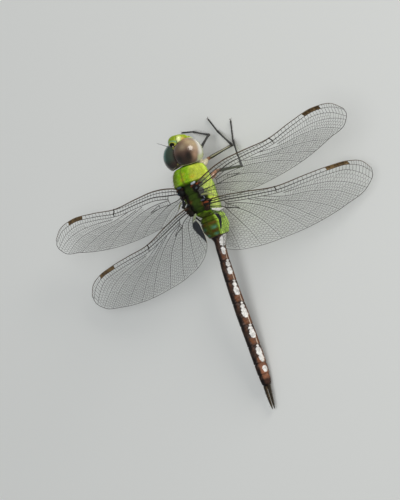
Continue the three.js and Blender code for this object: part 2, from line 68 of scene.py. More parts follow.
SHIFT = (0.49, -22.18)  # of the body's origin over the floor, as in the solids
RIDE_HEIGHT = 5.45  # of the body's origin above the floor
WAIST = np.array([0, 14.5, 0])
FORE_LIFT = 8.2  # degrees by which the fore body tilts up at the waist
LIFT = turn_x(-FORE_LIFT)
ROW = np.eye(4)
FLOOR = placed(np.eye(3), (*SHIFT, 0))
BODY = placed(turn_x(-4) @ turn_y(-3), (*SHIFT, RIDE_HEIGHT))
FORE = BODY @ placed(LIFT, WAIST - LIFT @ WAIST)
HEAD = FORE @ placed(turn_x(-4) @ turn_y(10), (0, -9.3, 3.3))


def at(matrix, points):
    points = np.asarray(points, float)
    return points @ matrix[:3, :3].T + matrix[:3, 3]


def point(ahead, left, up):
    return np.array([left, -ahead, up], float)


# ---------------- small sums


def step(x, low, high):
    t = np.clip((np.asarray(x, float) - low) / (high - low), 0, 1)
    return t * t * (3 - 2 * t)


def fall(x, low, high):
    return 1 - step(x, low, high)


def near(x, centre, width):
    return np.exp(-(((np.asarray(x, float) - centre) / width) ** 2))


def between(x, low, high, soft):
    return step(x, low - soft, low + soft) * fall(x, high - soft, high + soft)


def signed(x, power):
    return np.sign(x) * np.abs(x) ** power


def unit(v):
    v = np.asarray(v, float)
    return v / np.linalg.norm(v, axis=-1, keepdims=True)


def ring_angles(sides):
    return np.arange(sides) / sides * 2 * math.pi


def curve(xs, ys, x):
    """A smooth line through the points, read at x."""
    xs, ys = np.asarray(xs, float), np.asarray(ys, float)
    slope = np.gradient(ys, xs)
    i = np.clip(np.searchsorted(xs, x) - 1, 0, len(xs) - 2)
    h = xs[i + 1] - xs[i]
    t = np.clip((x - xs[i]) / h, 0, 1)
    return (
        ys[i] * (1 + 2 * t) * (1 - t) ** 2
        + slope[i] * h * t * (1 - t) ** 2
        + ys[i + 1] * t * t * (3 - 2 * t)
        + slope[i + 1] * h * t * t * (t - 1)
    )


def lengths_along(line):
    return np.concatenate([[0], np.cumsum(np.linalg.norm(np.diff(line, axis=0), axis=1))])


def even(line, count):
    """The line's own course at even steps along it."""
    way = lengths_along(line)
    steps = np.linspace(0, way[-1], count)
    return np.stack([np.interp(steps, way, column) for column in line.T], -1)


def smooth_path(points, count):
    """The smooth path through the points, at even steps along it."""
    points = np.asarray(points, float)
    way = lengths_along(points)
    fine = np.linspace(0, way[-1], 400)
    return even(np.stack([curve(way, column, fine) for column in points.T], -1), count)


def ripple(p, scale, seed=0):
    """A smooth made-up unevenness between about -1 and 1."""
    turns = np.random.default_rng(seed)
    total = 0
    for _ in range(6):
        direction = turns.normal(size=3) * scale
        total = total + np.sin(p @ direction + turns.uniform(0, 6.3))
    return total / 3


def mixed(base, other, share):
    share = np.clip(np.asarray(share, float), 0, 1)[..., None]
    return np.asarray(base, float) * (1 - share) + np.asarray(other, float) * share


def painted(base, *layers):
    """The base under layers of colour, each with the share it takes at every point."""
    for colour, share in layers:
        base = mixed(base, colour, share)
    return base


# ---------------- materials


def shader(name, roughness, **sockets):
    made = bpy.data.materials.new(name)
    made.use_nodes = True
    bsdf = made.node_tree.nodes["Principled BSDF"]
    bsdf.inputs["Roughness"].default_value = roughness
    for key, value in sockets.items():
        bsdf.inputs[key.replace("_", " ")].default_value = value
    return made, made.node_tree, bsdf


def add_node(tree, kind, **sockets):
    made = tree.nodes.new(f"ShaderNode{kind}")
    for key, value in sockets.items():
        made.inputs[key.replace("_", " ")].default_value = value
    return made


def relief(tree, bsdf, height, strength, depth):
    """Raises the surface by a height between 0 and 1; the depth is in millimetres."""
    bump = add_node(tree, "Bump", Strength=strength, Distance=depth * MM)
    tree.links.new(height, bump.inputs["Height"])
    tree.links.new(bump.outputs["Normal"], bsdf.inputs["Normal"])


def tinted(name, roughness, grain, depth, spread=0.12, contrast=0.22, **sockets):
    """A hard shell whose colour is the mesh's own tint, mottled, pitted and unevenly glossy."""
    made, tree, bsdf = shader(name, roughness, **sockets)
    link = tree.links.new
    place = add_node(tree, "TexCoord").outputs["Object"]
    broad = add_node(tree, "TexNoise", Scale=grain * 0.3, Detail=5)
    fine = add_node(tree, "TexNoise", Scale=grain * 1.7, Detail=3)
    pits = add_node(tree, "TexVoronoi", Scale=grain)
    for texture in (broad, fine, pits):
        link(place, texture.inputs["Vector"])

    def ranged(texture, middle, reach):
        stretched = add_node(
            tree, "MapRange", From_Min=0.3, From_Max=0.7, To_Min=middle - reach, To_Max=middle + reach)
        link(texture.outputs["Fac"], stretched.inputs["Value"])
        return stretched.outputs["Result"]

    tint = add_node(tree, "Attribute")
    tint.attribute_name = "tint"
    colour = add_node(tree, "VectorMath")
    colour.operation = "SCALE"
    link(tint.outputs["Color"], colour.inputs[0])
    link(ranged(broad, 1, contrast), colour.inputs["Scale"])
    link(colour.outputs["Vector"], bsdf.inputs["Base Color"])
    link(ranged(fine, roughness, spread), bsdf.inputs["Roughness"])
    height = add_node(tree, "Math")
    height.operation = "ADD"
    link(fine.outputs["Fac"], height.inputs[0])
    link(pits.outputs["Distance"], height.inputs[1])
    relief(tree, bsdf, height.outputs["Value"], 0.6, depth)
    return made


def membrane_look():
    """Clear wing skin: a lone shader with constant alpha, finely creased."""
    made, tree, bsdf = shader("wing_membrane", 0.22, Alpha=0.055, IOR=1.4)
    bsdf.inputs["Base Color"].default_value = (0.62, 0.66, 0.6, 1)
    crease = add_node(tree, "TexNoise", Scale=900)
    tree.links.new(add_node(tree, "TexCoord").outputs["Object"], crease.inputs["Vector"])
    relief(tree, bsdf, crease.outputs["Fac"], 0.5, 0.05)
    return made


LOOKS = {
    "shell": tinted("body_shell", 0.58, 5200, 0.035, Specular_IOR_Level=0.06),
    "abdomen": tinted("abdomen_shell", 0.42, 4200, 0.03, contrast=0.3, Specular_IOR_Level=0.1),
    "face": tinted("face_shell", 0.45, 6500, 0.025, Specular_IOR_Level=0.09),
    "leg": tinted("leg_shell", 0.33, 7000, 0.02, Coat_Weight=0.35, Coat_Roughness=0.2),
    "vein": tinted("wing_vein", 0.38, 9000, 0.01, Coat_Weight=0.1),
    "eye": tinted("eye_facets", 0.2, 13000, 0.012, 0.05, 0.08, Coat_Weight=0.35, Coat_Roughness=0.1),
    "hair": tinted("hair", 0.5, 3000, 0.005),
    "wing": membrane_look(),
}

# ---------------- meshes


class Shape:
    """Points, faces and tints gathered from many small solids."""

    def __init__(self):
        self.points, self.faces, self.tints, self.patches, self.count = [], [], [], [], 0

    def add(self, points, faces, tint, patch=(0.5, 0.5)):
        self.points.append(points)
        self.faces += [tuple(i + self.count for i in face) for face in faces]
        self.tints.append(np.broadcast_to(np.asarray(tint, float), (len(points), 3)))
        self.patches.append(np.broadcast_to(np.asarray(patch, float), (len(points), 2)))
        self.count += len(points)

    def make(self, name, look, slot, replaces=(), matrix=ROW, coat=False):
        points = at(matrix, np.concatenate(self.points))
        points[:, 2] = np.maximum(points[:, 2], 0)
        mesh = bpy.data.meshes.new(name)
        mesh.from_pydata((points * MM).tolist(), [], self.faces)
        tint = mesh.color_attributes.new("tint", "FLOAT_COLOR", "POINT")
        tints = np.concatenate(self.tints)
        tint.data.foreach_set("color", np.c_[tints, np.ones(len(tints))].ravel())
        mesh.polygons.foreach_set("use_smooth", [True] * len(mesh.polygons))
        if coat:
            self.unwrap(mesh)
        mesh.materials.append(LOOKS[look])
        mesh.validate()
        mesh.update()
        made = bpy.data.objects.new(name, mesh)
        bpy.context.scene.collection.objects.link(made)
        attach(made, "root")
        if replaces:
            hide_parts(*replaces)

    def unwrap(self, mesh):
        """Gives each hair a small patch at its root's place on the unwrapped skin."""
        layer = mesh.uv_layers.new(name="OFBake")
        corner = np.empty(len(mesh.loops), int)
        mesh.loops.foreach_get("vertex_index", corner)
        patch = np.concatenate(self.patches)[corner]
        spread = 0.003 * (np.stack([corner % 4, corner // 4 % 4], -1) / 3 - 0.5)
        layer.data.foreach_set("uv", (patch + spread).ravel())


def facing_out(points, faces):
    total = 0.0
    for first, *rest in faces:
        for a, b in zip(rest, rest[1:]):
            total += np.dot(points[first], np.cross(points[a], points[b]))
    return points, [face[::-1] for face in faces] if total < 0 else faces


def sleeve(rings):
    """A closed skin from rings of points, each end closed by a fan."""
    rings = np.asarray(rings, float)
    count, sides = rings.shape[:2]
    faces = []
    for a in range(0, (count - 1) * sides, sides):
        b = a + sides
        for i in range(sides):
            j = (i + 1) % sides
            faces.append((a + i, a + j, b + j, b + i))
    first, last, end = count * sides, count * sides + 1, (count - 1) * sides
    for i in range(sides):
        j = (i + 1) % sides
        faces.append((first, j, i))
        faces.append((last, end + i, end + j))
    points = np.concatenate([rings.reshape(-1, 3), rings[0].mean(0)[None], rings[-1].mean(0)[None]])
    return facing_out(points, faces)


def tube(path, radii, sides=8, flat=1.0, round_end=True):
    """A tapering limb along a path, flattened upwards, with rounded ends."""
    path = np.asarray(path, float)
    radii = np.broadcast_to(np.asarray(radii, float), len(path))
    if round_end:
        first = path[0] - unit(path[1] - path[0]) * radii[0] * 0.5
        last = path[-1] + unit(path[-1] - path[-2]) * radii[-1] * 0.5
        path = np.concatenate([first[None], path, last[None]])
        radii = np.concatenate([[radii[0] * 0.55], radii, [radii[-1] * 0.55]])
    along = unit(np.gradient(path, axis=0))
    side = np.cross((0.0, 0.0, 1.0), along)
    steep = np.linalg.norm(side, axis=1) < 0.2
    side[steep] = np.cross((0.3, 1, 0.1), along[steep])
    side = unit(side)
    rise = np.cross(along, side)
    angle = ring_angles(sides)
    return sleeve(
        path[:, None]
        + side[:, None] * (radii[:, None] * np.cos(angle))[..., None]
        + rise[:, None] * (radii[:, None] * flat * np.sin(angle))[..., None]
    )


def rod(a, b, radius, tip=None, sides=4):
    """A short straight piece, such as a cross-vein or a spine."""
    along = unit(b - a)
    side = unit(np.cross((0.31, 0.2, 0.93), along))
    rise = np.cross(along, side)
    angle = ring_angles(sides)[:, None]
    ring = side * np.cos(angle) + rise * np.sin(angle)
    points = np.concatenate([a + ring * radius, b + ring * (radius if tip is None else tip)])
    faces = [(i, i + sides, (i + 1) % sides + sides, (i + 1) % sides) for i in range(sides)]
    faces += [tuple(range(sides)), tuple(range(2 * sides - 1, sides - 1, -1))]
    return points, faces


def blob(centre, radii, power=2.0, around=48, along=32):
    """An ellipsoid swollen towards a box, in a frame's own axes."""
    u = np.linspace(0, math.pi, along + 1)[1:-1, None]
    v = ring_angles(around)
    ball = np.stack([np.sin(u) * np.cos(v), np.cos(u) * np.ones(around), np.sin(u) * np.sin(v)], -1)
    points, faces = sleeve(ball / (np.abs(ball) ** power).sum(-1, keepdims=True) ** (1 / power))
    points[-2:] = (0, 1, 0), (0, -1, 0)
    return points * np.asarray(radii) + np.asarray(centre), faces


# ---------------- thorax

THORAX = np.array([
    # back, width, top, bottom, power, keel, lean
    (-5.3, 2.7, 5.7, -0.9, 2.2, 0.72, -0.1),
    (-5.05, 3.5, 6.6, -1.4, 2.4, 0.68, -0.1),
    (-4.3, 4.35, 7.4, -1.8, 2.6, 0.62, -0.1),
    (-3.2, 4.8, 7.8, -2.0, 2.9, 0.58, -0.08),
    (-1.3, 5.05, 8.1, -2.3, 3.1, 0.53, -0.03),
    (0.8, 4.75, 7.8, -3.1, 3.0, 0.5, 0.0),
    (3.2, 4.35, 7.1, -3.3, 2.7, 0.52, 0.0),
    (5.6, 4.0, 6.4, -3.1, 2.4, 0.6, 0.0),
    (7.3, 3.5, 5.5, -2.6, 2.3, 0.7, 0.0),
    (8.35, 2.8, 4.5, -1.8, 2.1, 0.8, 0.0),
])
THORAX_FRONT, THORAX_END = THORAX[0, 0], THORAX[-1, 0]
END_ROUNDING = 0.3  # how far the thorax's rounded ends stand out
SHOULDER_BACK = -1.75  # where the shoulders end and the wing platform begins
PLATFORM = 4.4  # the platform's height
INSET = 0.06  # the skin lies this far inside the solid
LIME = (0.19, 0.37, 0.012)
SIDE_LIME = (0.58, 0.73, 0.08)
OLIVE = (0.032, 0.056, 0.01)
NEAR_BLACK = (0.014, 0.012, 0.009)
RUST = (0.24, 0.075, 0.025)
CREAM = (0.52, 0.47, 0.32)
SUTURES = [  # on the side: from the wing bases down and forward to the legs, as back and up
    ((0.3, 5.4), (-3.7, -1.0)),
    ((2.2, 5.2), (-2.5, -2.6)),
    ((5.3, 4.7), (-0.4, -3.2)),
]
BACK_PLATES = [  # down the middle of the back: place, length, width and height
    (0.9, 0.95, 1.7, 0.34), (2.6, 0.45, 0.7, 0.2), (4.8, 0.85, 1.5, 0.3), (6.6, 0.5, 0.8, 0.2),
]
BACK_NOTCHES = (1.75, 3.3, 5.6, 7.0)
SHOULDER_SPOTS = [(0.1, -2.6, 0.6), (-2.9, -2.5, 0.6), (-0.5, -3.9, 0.35)]  # left, back, strength


def thorax_ring(back, scale=1.0, push=0.0, sides=168):
    width, top, bottom, power, keel, lean = [curve(THORAX[:, 0], row, back) for row in THORAX[:, 1:].T]
    angle = ring_angles(sides)
    centre, height = (top + bottom) / 2, (top - bottom) / 2 - INSET
    up = centre + scale * height * signed(np.cos(angle), 2 / power)
    narrowing = keel + (1 - keel) * step(up, bottom, centre + height / 2)
    across = scale * (width - INSET) * narrowing * signed(np.sin(angle), 2 / power)
    return np.stack([across, back + push + up * math.tan(lean), up], -1)


def gap_to_line(y, z, start, end):
    start, end = np.array(start), np.array(end)
    along, length = unit(end - start), np.linalg.norm(end - start)
    q = np.stack([y, z], -1) - start
    way = q @ along
    off = q[..., 0] * along[1] - q[..., 1] * along[0]
    return np.hypot(off, np.maximum(0, np.maximum(-way, way - length)))


def thorax():
    """The skin of the thorax, with the shoulders, the platform between the wings and the slanting seams."""
    ends = np.linspace(math.pi / 2, 0.12, 9)
    rings = [thorax_ring(THORAX_FRONT, math.cos(t), -END_ROUNDING * math.sin(t)) for t in ends]
    rings += [thorax_ring(y) for y in np.linspace(THORAX_FRONT, THORAX_END, 226)]
    rings += [thorax_ring(THORAX_END, math.cos(t), END_ROUNDING * math.sin(t)) for t in ends[::-1]]
    rings[0], rings[-1] = rings[0] + 1e-4, rings[-1] - 1e-4
    p, faces = sleeve(rings)
    x, y, z = p.T
    side = np.abs(x)

    # The wing platform lies lower than the shoulders in front of it.
    bend = 0.16 * side - 0.05 * side ** 1.5
    behind = step(y, SHOULDER_BACK + bend, SHOULDER_BACK + 1 + bend)
    z = np.where(z > PLATFORM, z - (z - PLATFORM) * 0.36 * behind * step(z, PLATFORM, PLATFORM + 1), z)
    z += 0.3 * near(x, 0, 2.2) * behind * step(z, PLATFORM, PLATFORM + 1) * np.cos(y * 1.35 + 0.4)
    on_top = step(z, 3.6, 4.8) * behind
    for centre, length, wide, height in BACK_PLATES:
        z += on_top * height * near(y, centre, length) * near(x, 0, wide)
    for centre in BACK_NOTCHES:
        z -= on_top * 0.2 * near(y, centre + 0.12 * side, 0.16) * step(3.2 - side, 0, 1)
    # The ridge down the front's middle and the crest at its back.
    front = fall(y, -1.2, -0.8)
    ridge = front * step(z, 1.5, 4)
    out = np.stack([x * 0.6, np.full(len(p), -0.5), np.maximum(z - 2, 0)], -1)
    lump = 0.16 * near(x, 0, 0.16) * ridge - 0.1 * near(side, 0.34, 0.14) * ridge
    lump += 0.1 * near(y, SHOULDER_BACK + bend, 0.2) * step(z, 5, 6)
    # Slanting seams down the sides, with the plates between them a little swollen.
    flank = step(side, 1.4, 2.4) * fall(z, 5.2, 5.9)
    gaps = [gap_to_line(y, z, *seam) for seam in SUTURES]
    groove = sum(near(gap, 0, 0.13) for gap in gaps)
    lump += sum(flank * 0.07 * near(gap, 0.5, 0.25) for gap in gaps)
    lump -= 0.14 * groove * flank
    lump += 0.035 * ripple(p, 1.1, 3)
    moved = np.stack([x, y, z], -1) + unit(out) * lump[:, None]
    moved[:, 0] += np.sign(x) * flank * lump * 0.8

    platform = step(z + 0.15 * ripple(p, 2.2, 5), 4.5, 5.2) * behind
    platform = platform * (1 - step(side, 2.7, 3.2) * near(y, 0.9, 2.2))
    tint = painted(
        LIME,
        (SIDE_LIME, step(side, 2.4, 4.2) * fall(z, 5.5, 7)),
        ((0.36, 0.42, 0.045), 0.9 * front * step(side, 1.6, 3.2) * step(z, 3, 4.6)),
        ((0.13, 0.26, 0.005), 0.7 * near(x, -0.6, 0.8) * near(y, -3.2, 1) * step(z, 3, 7)),
        # Painted shade: the left side of the front is darker green.
        ((0.085, 0.15, 0.012), 0.8 * step(x, 0.8, 2.8) * front),
        *[((0.52, 0.34, 0.02), share * near(y, back, 0.5) * near(x, left, 0.75) * step(z, 5, 7))
          for left, back, share in SHOULDER_SPOTS],
        ((0.74, 0.9, 0.17), 0.7 * step(side, 2.6, 3.8) * step(y, 1.5, 5) * fall(z, 4, 5)),
        ((0.4, 0.33, 0.15), fall(z, -2.6, -1.2)),
        ((0.11, 0.1, 0.015), 0.75 * np.clip(groove, 0, 1) * flank),
        (OLIVE, platform),
        (NEAR_BLACK, platform * step(side + 0.5 * ripple(p, 1.6, 9), 0.9, 1.9)),
        ((0.05, 0.085, 0.01), 0.45 * platform * near(x, -0.2, 0.7) * (near(y, 2.5, 0.8) + near(y, 6.3, 0.9))),
        ((0.006, 0.009, 0.004), 0.7 * platform * (near(y, -0.7, 0.8) + near(y, 7.2, 1.4))),
        (RUST, 0.75 * platform * near(x, -2.2, 0.7) * (near(y, 0.5, 0.5) + near(y, 5.2, 0.6))),
        (RUST, 0.35 * platform * near(x, 1.6, 0.6) * near(y, 3.6, 0.5)),
        ((0.1, 0.07, 0.02), 0.7 * near(x, 0, 0.13) * ridge),
        ((0.06, 0.085, 0.012), step(y, 6.9, 7.8) * fall(side, 1.6, 2.8) * step(z, 2, 4)),
    )
    tint = tint * (1 + 0.12 * ripple(p, 1.3, 11))[:, None]
    shape = Shape()
    shape.add(moved, faces, np.clip(tint, 0.003, 1))
    shape.make("thorax_skin", "shell", "thorax_green", ["thorax"], FORE)


COLLAR = np.array([
    # back, half-width, top, bottom
    (-8.3, 0.8, 2.1, 0.5), (-7.8, 0.95, 2.3, 0.3), (-7.2, 1.1, 2.4, -0.2), (-6.8, 1.25, 2.5, -0.8),
    (-6.45, 1.9, 2.7, -1.6), (-6.15, 2.2, 3.0, -2.0), (-5.8, 2.3, 3.1, -2.2), (-5.5, 2.1, 2.8, -2.2),
    (-5.3, 2.35, 3.2, -2.3), (-4.9, 2.3, 3.3, -2.2), (-4.4, 1.8, 2.8, -1.9),
])


def collar():
    """The prothorax, a saddle-shaped plate over the neck, and the neck itself."""
    angle = ring_angles(64)
    sine, cosine = signed(np.sin(angle), 0.95), signed(np.cos(angle), 0.9)
    rings = np.array([
        np.stack([
            half * sine, back + 0.15 * np.cos(angle), (top + bottom) / 2 + (top - bottom) / 2 * cosine,
        ], -1)
        for back, half, top, bottom in COLLAR
    ])
    stations = np.arange(len(rings))
    fine = np.linspace(0, len(rings) - 1, 60)
    p, faces = sleeve(np.stack([
        np.stack([curve(stations, column, fine) for column in strand.T], -1)
        for strand in rings.transpose(1, 0, 2)
    ], 1))
    x, y, z = p.T
    shape = Shape()
    shape.add(p, faces, painted(
        (0.1, 0.1, 0.04),
        (CREAM, step(-x, 0.8, 1.9) * step(y, -7, -6.2)),
        ((0.05, 0.04, 0.02), 0.7 * fall(y, -7.4, -6.7)),
        ((0.24, 0.31, 0.02), 0.8 * step(z, 1.6, 2.6) * step(x, -1.2, 0)),
    ))
    shape.make("collar", "shell", "thorax_green", ["prothorax", "neck"], FORE)


# ---------------- abdomen

ABDOMEN_START = 8.55
SEGMENTS = [  # end, half-widths and half-heights at the front, middle and back; the third only narrows
    (10.0, (2.9, 3.3, 3.4), (3.1, 3.4, 3.5)),
    (14.35, (3.5, 3.65, 2.6), (3.5, 3.5, 2.5)),
    (21.4, (2.5, 1.32), (2.4, 1.3)),
    (27.1, (1.4, 1.5, 1.55), (1.3, 1.4, 1.4)),
    (33.1, (1.55, 1.6, 1.65), (1.4, 1.45, 1.5)),
    (39.3, (1.65, 1.75, 1.75), (1.5, 1.55, 1.55)),
    (44.9, (1.75, 1.75, 1.75), (1.55, 1.55, 1.55)),
    (49.8, (1.75, 1.75, 1.7), (1.55, 1.55, 1.5)),
    (52.8, (1.65, 1.65, 1.55), (1.5, 1.5, 1.4)),
    (55.5, (1.5, 1.45, 1.2), (1.35, 1.25, 1.0)),
]
SEGMENT_ENDS = np.array([ABDOMEN_START, *[end for end, _, _ in SEGMENTS]])
TWIST = 17  # degrees by which the back's middle line lies towards the left, behind the waist
PALE_SPOTS = {  # along the segment from and to, and round from the back's middle line
    3: ((0.0, 0.47, 30, 112), (0.49, 0.78, 36, 86)),
    4: ((-0.02, 0.09, 58, 88), (0.09, 0.33, 42, 92), (0.34, 0.72, 36, 92)),
    5: ((-0.02, 0.08, 58, 84), (0.09, 0.29, 44, 88), (0.28, 0.68, 34, 92)),
    6: ((-0.02, 0.08, 60, 82), (0.1, 0.27, 42, 84), (0.25, 0.7, 34, 92)),
    7: ((-0.02, 0.1, 60, 82), (0.11, 0.24, 44, 86), (0.22, 0.68, 36, 92)),
    8: ((-0.02, 0.12, 60, 82), (0.12, 0.6, 38, 92), (0.5, 0.97, 44, 94)),
    9: ((0.25, 0.86, 44, 94),),
}
SPOT_WHITE = (0.6, 0.59, 0.57)
ORANGE_BROWN = (0.15, 0.06, 0.028)
DARK_BROWN = (0.04, 0.027, 0.022)
SOOT = (0.009, 0.008, 0.008)


def through(three, way):
    """The smooth line through a front, a middle and a back value."""
    a, b, c = three
    return a + way * (4 * b - 3 * a - c) + way * way * (2 * a + 2 * c - 4 * b)


def arch(back):
    """The height of the abdomen's middle line."""
    return 1.5 + 0.9 * step(back, 14.4, 18.5) - 2.65 * step(back, 22, 56)


def segment_sizes(number, way, length):
    """Half the width and half the height, narrower at the joints and with a rim before each."""
    _, *sizes = SEGMENTS[number - 1]
    if number < 3:
        half = [np.interp(way, (0, 0.5, 1), three) for three in sizes]
    elif number == 3:
        half = [slim + (flare - slim) * math.exp(-way * 5.5) for flare, slim in sizes]
    else:
        half = [through(three, way) for three in sizes]
    to_end = (1 - way) * length
    size = 1 - 0.075 * near(min(way * length, to_end), 0, 0.13) + 0.022 * near(to_end, 0.34, 0.17)
    if 4 <= number <= 8:
        size += 0.02 * near((way - 0.44) * length, 0, 0.09)
    return [value * size - INSET * 0.5 for value in half]


def segment_ring(number, way, angle):
    start, end = SEGMENT_ENDS[number - 1:number + 1]
    back = start + way * (end - start)
    raised = number <= 2
    width, height = segment_sizes(number, way, end - start)
    rise = (1.5 if raised else arch(back)) + height * signed(np.cos(angle), 0.93)
    across = width * signed(np.sin(angle), 0.93)
    lean = math.radians(FORE_LIFT) * max(0, 1 - way * 2) if number == 3 else 0
    ring = np.stack([across, back + rise * math.tan(lean), rise], -1)
    # The side keels, and the fold along each side of the belly.
    turn = np.degrees(np.abs((angle + math.pi) % (2 * math.pi) - math.pi))
    ridge = 0.05 * near(turn, 104, 5) - 0.09 * near(turn, 143, 6) - 0.05 * step(turn, 150, 165)
    ridge += 0.035 * near(turn, 0, 5) * (number > 1)
    outward = np.stack([np.sin(angle), 0 * angle, np.cos(angle)], -1)
    ring += outward * (ridge * between(way, 0.04, 0.96, 0.03))[:, None]
    return at(FORE if raised else BODY, ring)


def abdomen():
    angle = ring_angles(112)
    rings, ways, numbers = [], [], []
    for number, length in enumerate(np.diff(SEGMENT_ENDS), 1):
        count = max(26, int(length / 0.11))
        for way in np.linspace(0, 1, count, endpoint=number == len(SEGMENTS)):
            rings.append(segment_ring(number, way, angle))
            ways.append(way)
            numbers.append(number)
    last, middle = rings[-1], rings[-1].mean(0)
    for t in (0.45, 0.8, 0.97):
        rings.append(middle + (last - middle) * math.sqrt(1 - t * t) + BODY[:3, 1] * 0.35 * t)
        ways.append(1.0)
        numbers.append(len(SEGMENTS))
    p, faces = sleeve(rings)
    way = np.concatenate([np.repeat(ways, len(angle)), [0, 1]])
    number = np.concatenate([np.repeat(numbers, len(angle)), [1, len(SEGMENTS)]])
    turn = np.degrees(np.concatenate([np.tile(angle, len(rings)), [0, 0]]))
    shape = Shape()
    shape.add(p, faces, abdomen_tint(p, way, number, turn))
    nodes = [f"abdomen_segment_{n}" for n in range(1, 11)]
    shape.make("abdomen_skin", "abdomen", "abdomen_brown", nodes)


def abdomen_tint(p, way, number, turn):
    """Turn grows from the back's middle line towards the left, in degrees."""
    place = number + way
    turn = (turn + 180) % 360 - 180 - TWIST * step(place, 2.9, 3.2)
    side = np.abs((turn + 180) % 360 - 180)
    rough = ripple(p, 2.4, 21)
    fine = ripple(p, 6.0, 22)
    edge = np.minimum(way, 1 - way) * np.diff(SEGMENT_ENDS)[number - 1]
    # Dark brown, with orange-brown behind each pale spot and a pale line from spot to spot.
    warm = between(way + 0.05 * rough, 0.66, 0.97, 0.06) * between(side + 6 * rough, 34, 122, 9)
    warm = warm + 0.5 * between(way + 0.06 * fine, 0.1, 0.3, 0.05) * between(side, 14, 40, 8)
    blotches = step(ripple(p, 4.5, 23), 0, 0.6) * between(side, 20, 80, 8)
    late = step(place, 8.2, 9.6) * step(side, 22, 38) * fall(side, 100, 130)
    tint = painted(
        DARK_BROWN,
        (ORANGE_BROWN, 0.85 * warm),
        ((0.13, 0.085, 0.072), 0.55 * blotches),
        (SOOT, 0.8 * fall(side + 7 * rough, 8, 30)),
        ((0.045, 0.026, 0.018), 0.8 * near(way + 0.03 * fine, 0.38, 0.13) * fall(side, 30, 44)),
        ((0.12, 0.05, 0.026), 0.8 * between(side, 100, 128, 8) * step(way + 0.1 * fine, 0.15, 0.4)),
        ((0.1, 0.065, 0.045), step(side, 122, 138)),
        (SOOT, 0.8 * near(side, 143, 5)),
        ((0.25, 0.105, 0.058), 0.75 * late),
        (SOOT, 0.85 * step(place, 10.3, 10.6)),
    )
    for n, spots in PALE_SPOTS.items():
        for low, high, inner, outer in spots:
            along = (way + 0.012 * rough - (low + high) / 2) / ((high - low) / 2)
            across = (side + 4 * fine - (inner + outer) / 2 - 14) / ((outer - inner) / 2 + 3)
            inside = 1 - np.abs(along) ** 2.6 - np.abs(across) ** 2.6
            tint = mixed(tint, SPOT_WHITE, (number == n) * step(inside, 0, 0.2))
    line = near(side + 1.5 * fine, 93, 4.5) * step(way, 0.6, 0.7) * (number <= 8)
    joint = fall(edge, 0.03, 0.13) * (1 - 0.8 * between(side, 60, 100, 5))
    # The first two segments are green, with rusty bars and blue spots.
    second = number == 2
    bars = near(way, 0.13, 0.09) + near(way, 0.62, 0.1) + near(way, 0.96, 0.06)
    blue = (near(way, 0.4, 0.1) + near(way, 0.82, 0.08)) * near(side, 26, 13)
    green = painted(
        (0.055, 0.085, 0.005),
        ((0.4, 0.62, 0.06), step(side, 38, 56)),
        ((0.42, 0.36, 0.18), step(side, 118, 138)),
        ((0.1, 0.03, 0.01), 0.65 * second * bars * between(side + 6 * rough, 6, 46, 6)),
        ((0.07, 0.2, 0.13), 0.85 * second * blue),
        ((0.05, 0.05, 0.012), 0.8 * near(side, 0, 5) + 0.6 * fall(edge, 0.05, 0.18)),
    )
    tint = painted(
        tint,
        ((0.58, 0.5, 0.41), 0.9 * line),
        (SOOT, 0.75 * joint),
        (green, fall(place, 2.93, 2.99)),
    )
    return np.clip(tint * (1 + 0.1 * fine + 0.06 * rough)[:, None], 0.004, 1)


CERCUS = 6.95  # a cercus's length
TAIL_START = SEGMENT_ENDS[-1] - 0.3
TAIL_HEIGHT = arch(SEGMENT_ENDS[-1])


def tail():
    """The two leaf-shaped cerci and the small plate between them."""
    shape = Shape()
    way = np.linspace(0, 1, 60)
    wide = np.interp(way, (0, 0.12, 0.35, 0.6, 0.85, 1), (0.34, 0.54, 0.49, 0.41, 0.29, 0.05))
    around = ring_angles(20)
    ridge = 0.09 * near(np.cos(around), 0, 0.25) * (np.sin(around) > 0)
    across = wide[:, None] * np.cos(around)
    up = (0.13 + 0.1 * (1 - way[:, None])) * np.sin(around) + ridge * (0.3 + wide[:, None])
    for sign in (1, -1):
        arched = TAIL_HEIGHT + 0.1 + 0.12 * np.sin(way * 3.1)
        centre = np.stack([sign * (0.68 - 0.34 * way), TAIL_START + way * CERCUS, arched], -1)
        p, faces = sleeve(centre[:, None] + np.stack([across, 0 * across, up], -1))
        inner_edge = 0.7 * near(p[:, 0] * sign, 0.12, 0.09)
        shape.add(p, faces, mixed((0.028, 0.022, 0.015), (0.16, 0.11, 0.06), inner_edge))
        for _ in range(26):
            y = rng.uniform(0.15, 0.97)
            middle = sign * (0.78 - 0.2 * float(step(y, 0, 0.9)))
            edge = middle + rng.choice([-1, 1]) * np.interp(y, way, wide) * 0.9
            root = np.array([edge, TAIL_START + y * CERCUS, TAIL_HEIGHT + 0.15])
            away = np.array([np.sign(edge - middle) * 0.5, 0.8, rng.uniform(-0.1, 0.3)])
            shape.add(*rod(root, root + away * 0.45, 0.018, 0.004, 3), NEAR_BLACK)
    plate = blob((0, TAIL_START + 0.85, TAIL_HEIGHT - 0.45), (0.55, 0.85, 0.28), 2.2, 28, 20)
    shape.add(*plate, (0.12, 0.07, 0.035))
    shape.make("tail_appendages", "abdomen", "horn_dark", ["cercus_left", "cercus_right", "epiproct"], BODY)


# ---------------- head

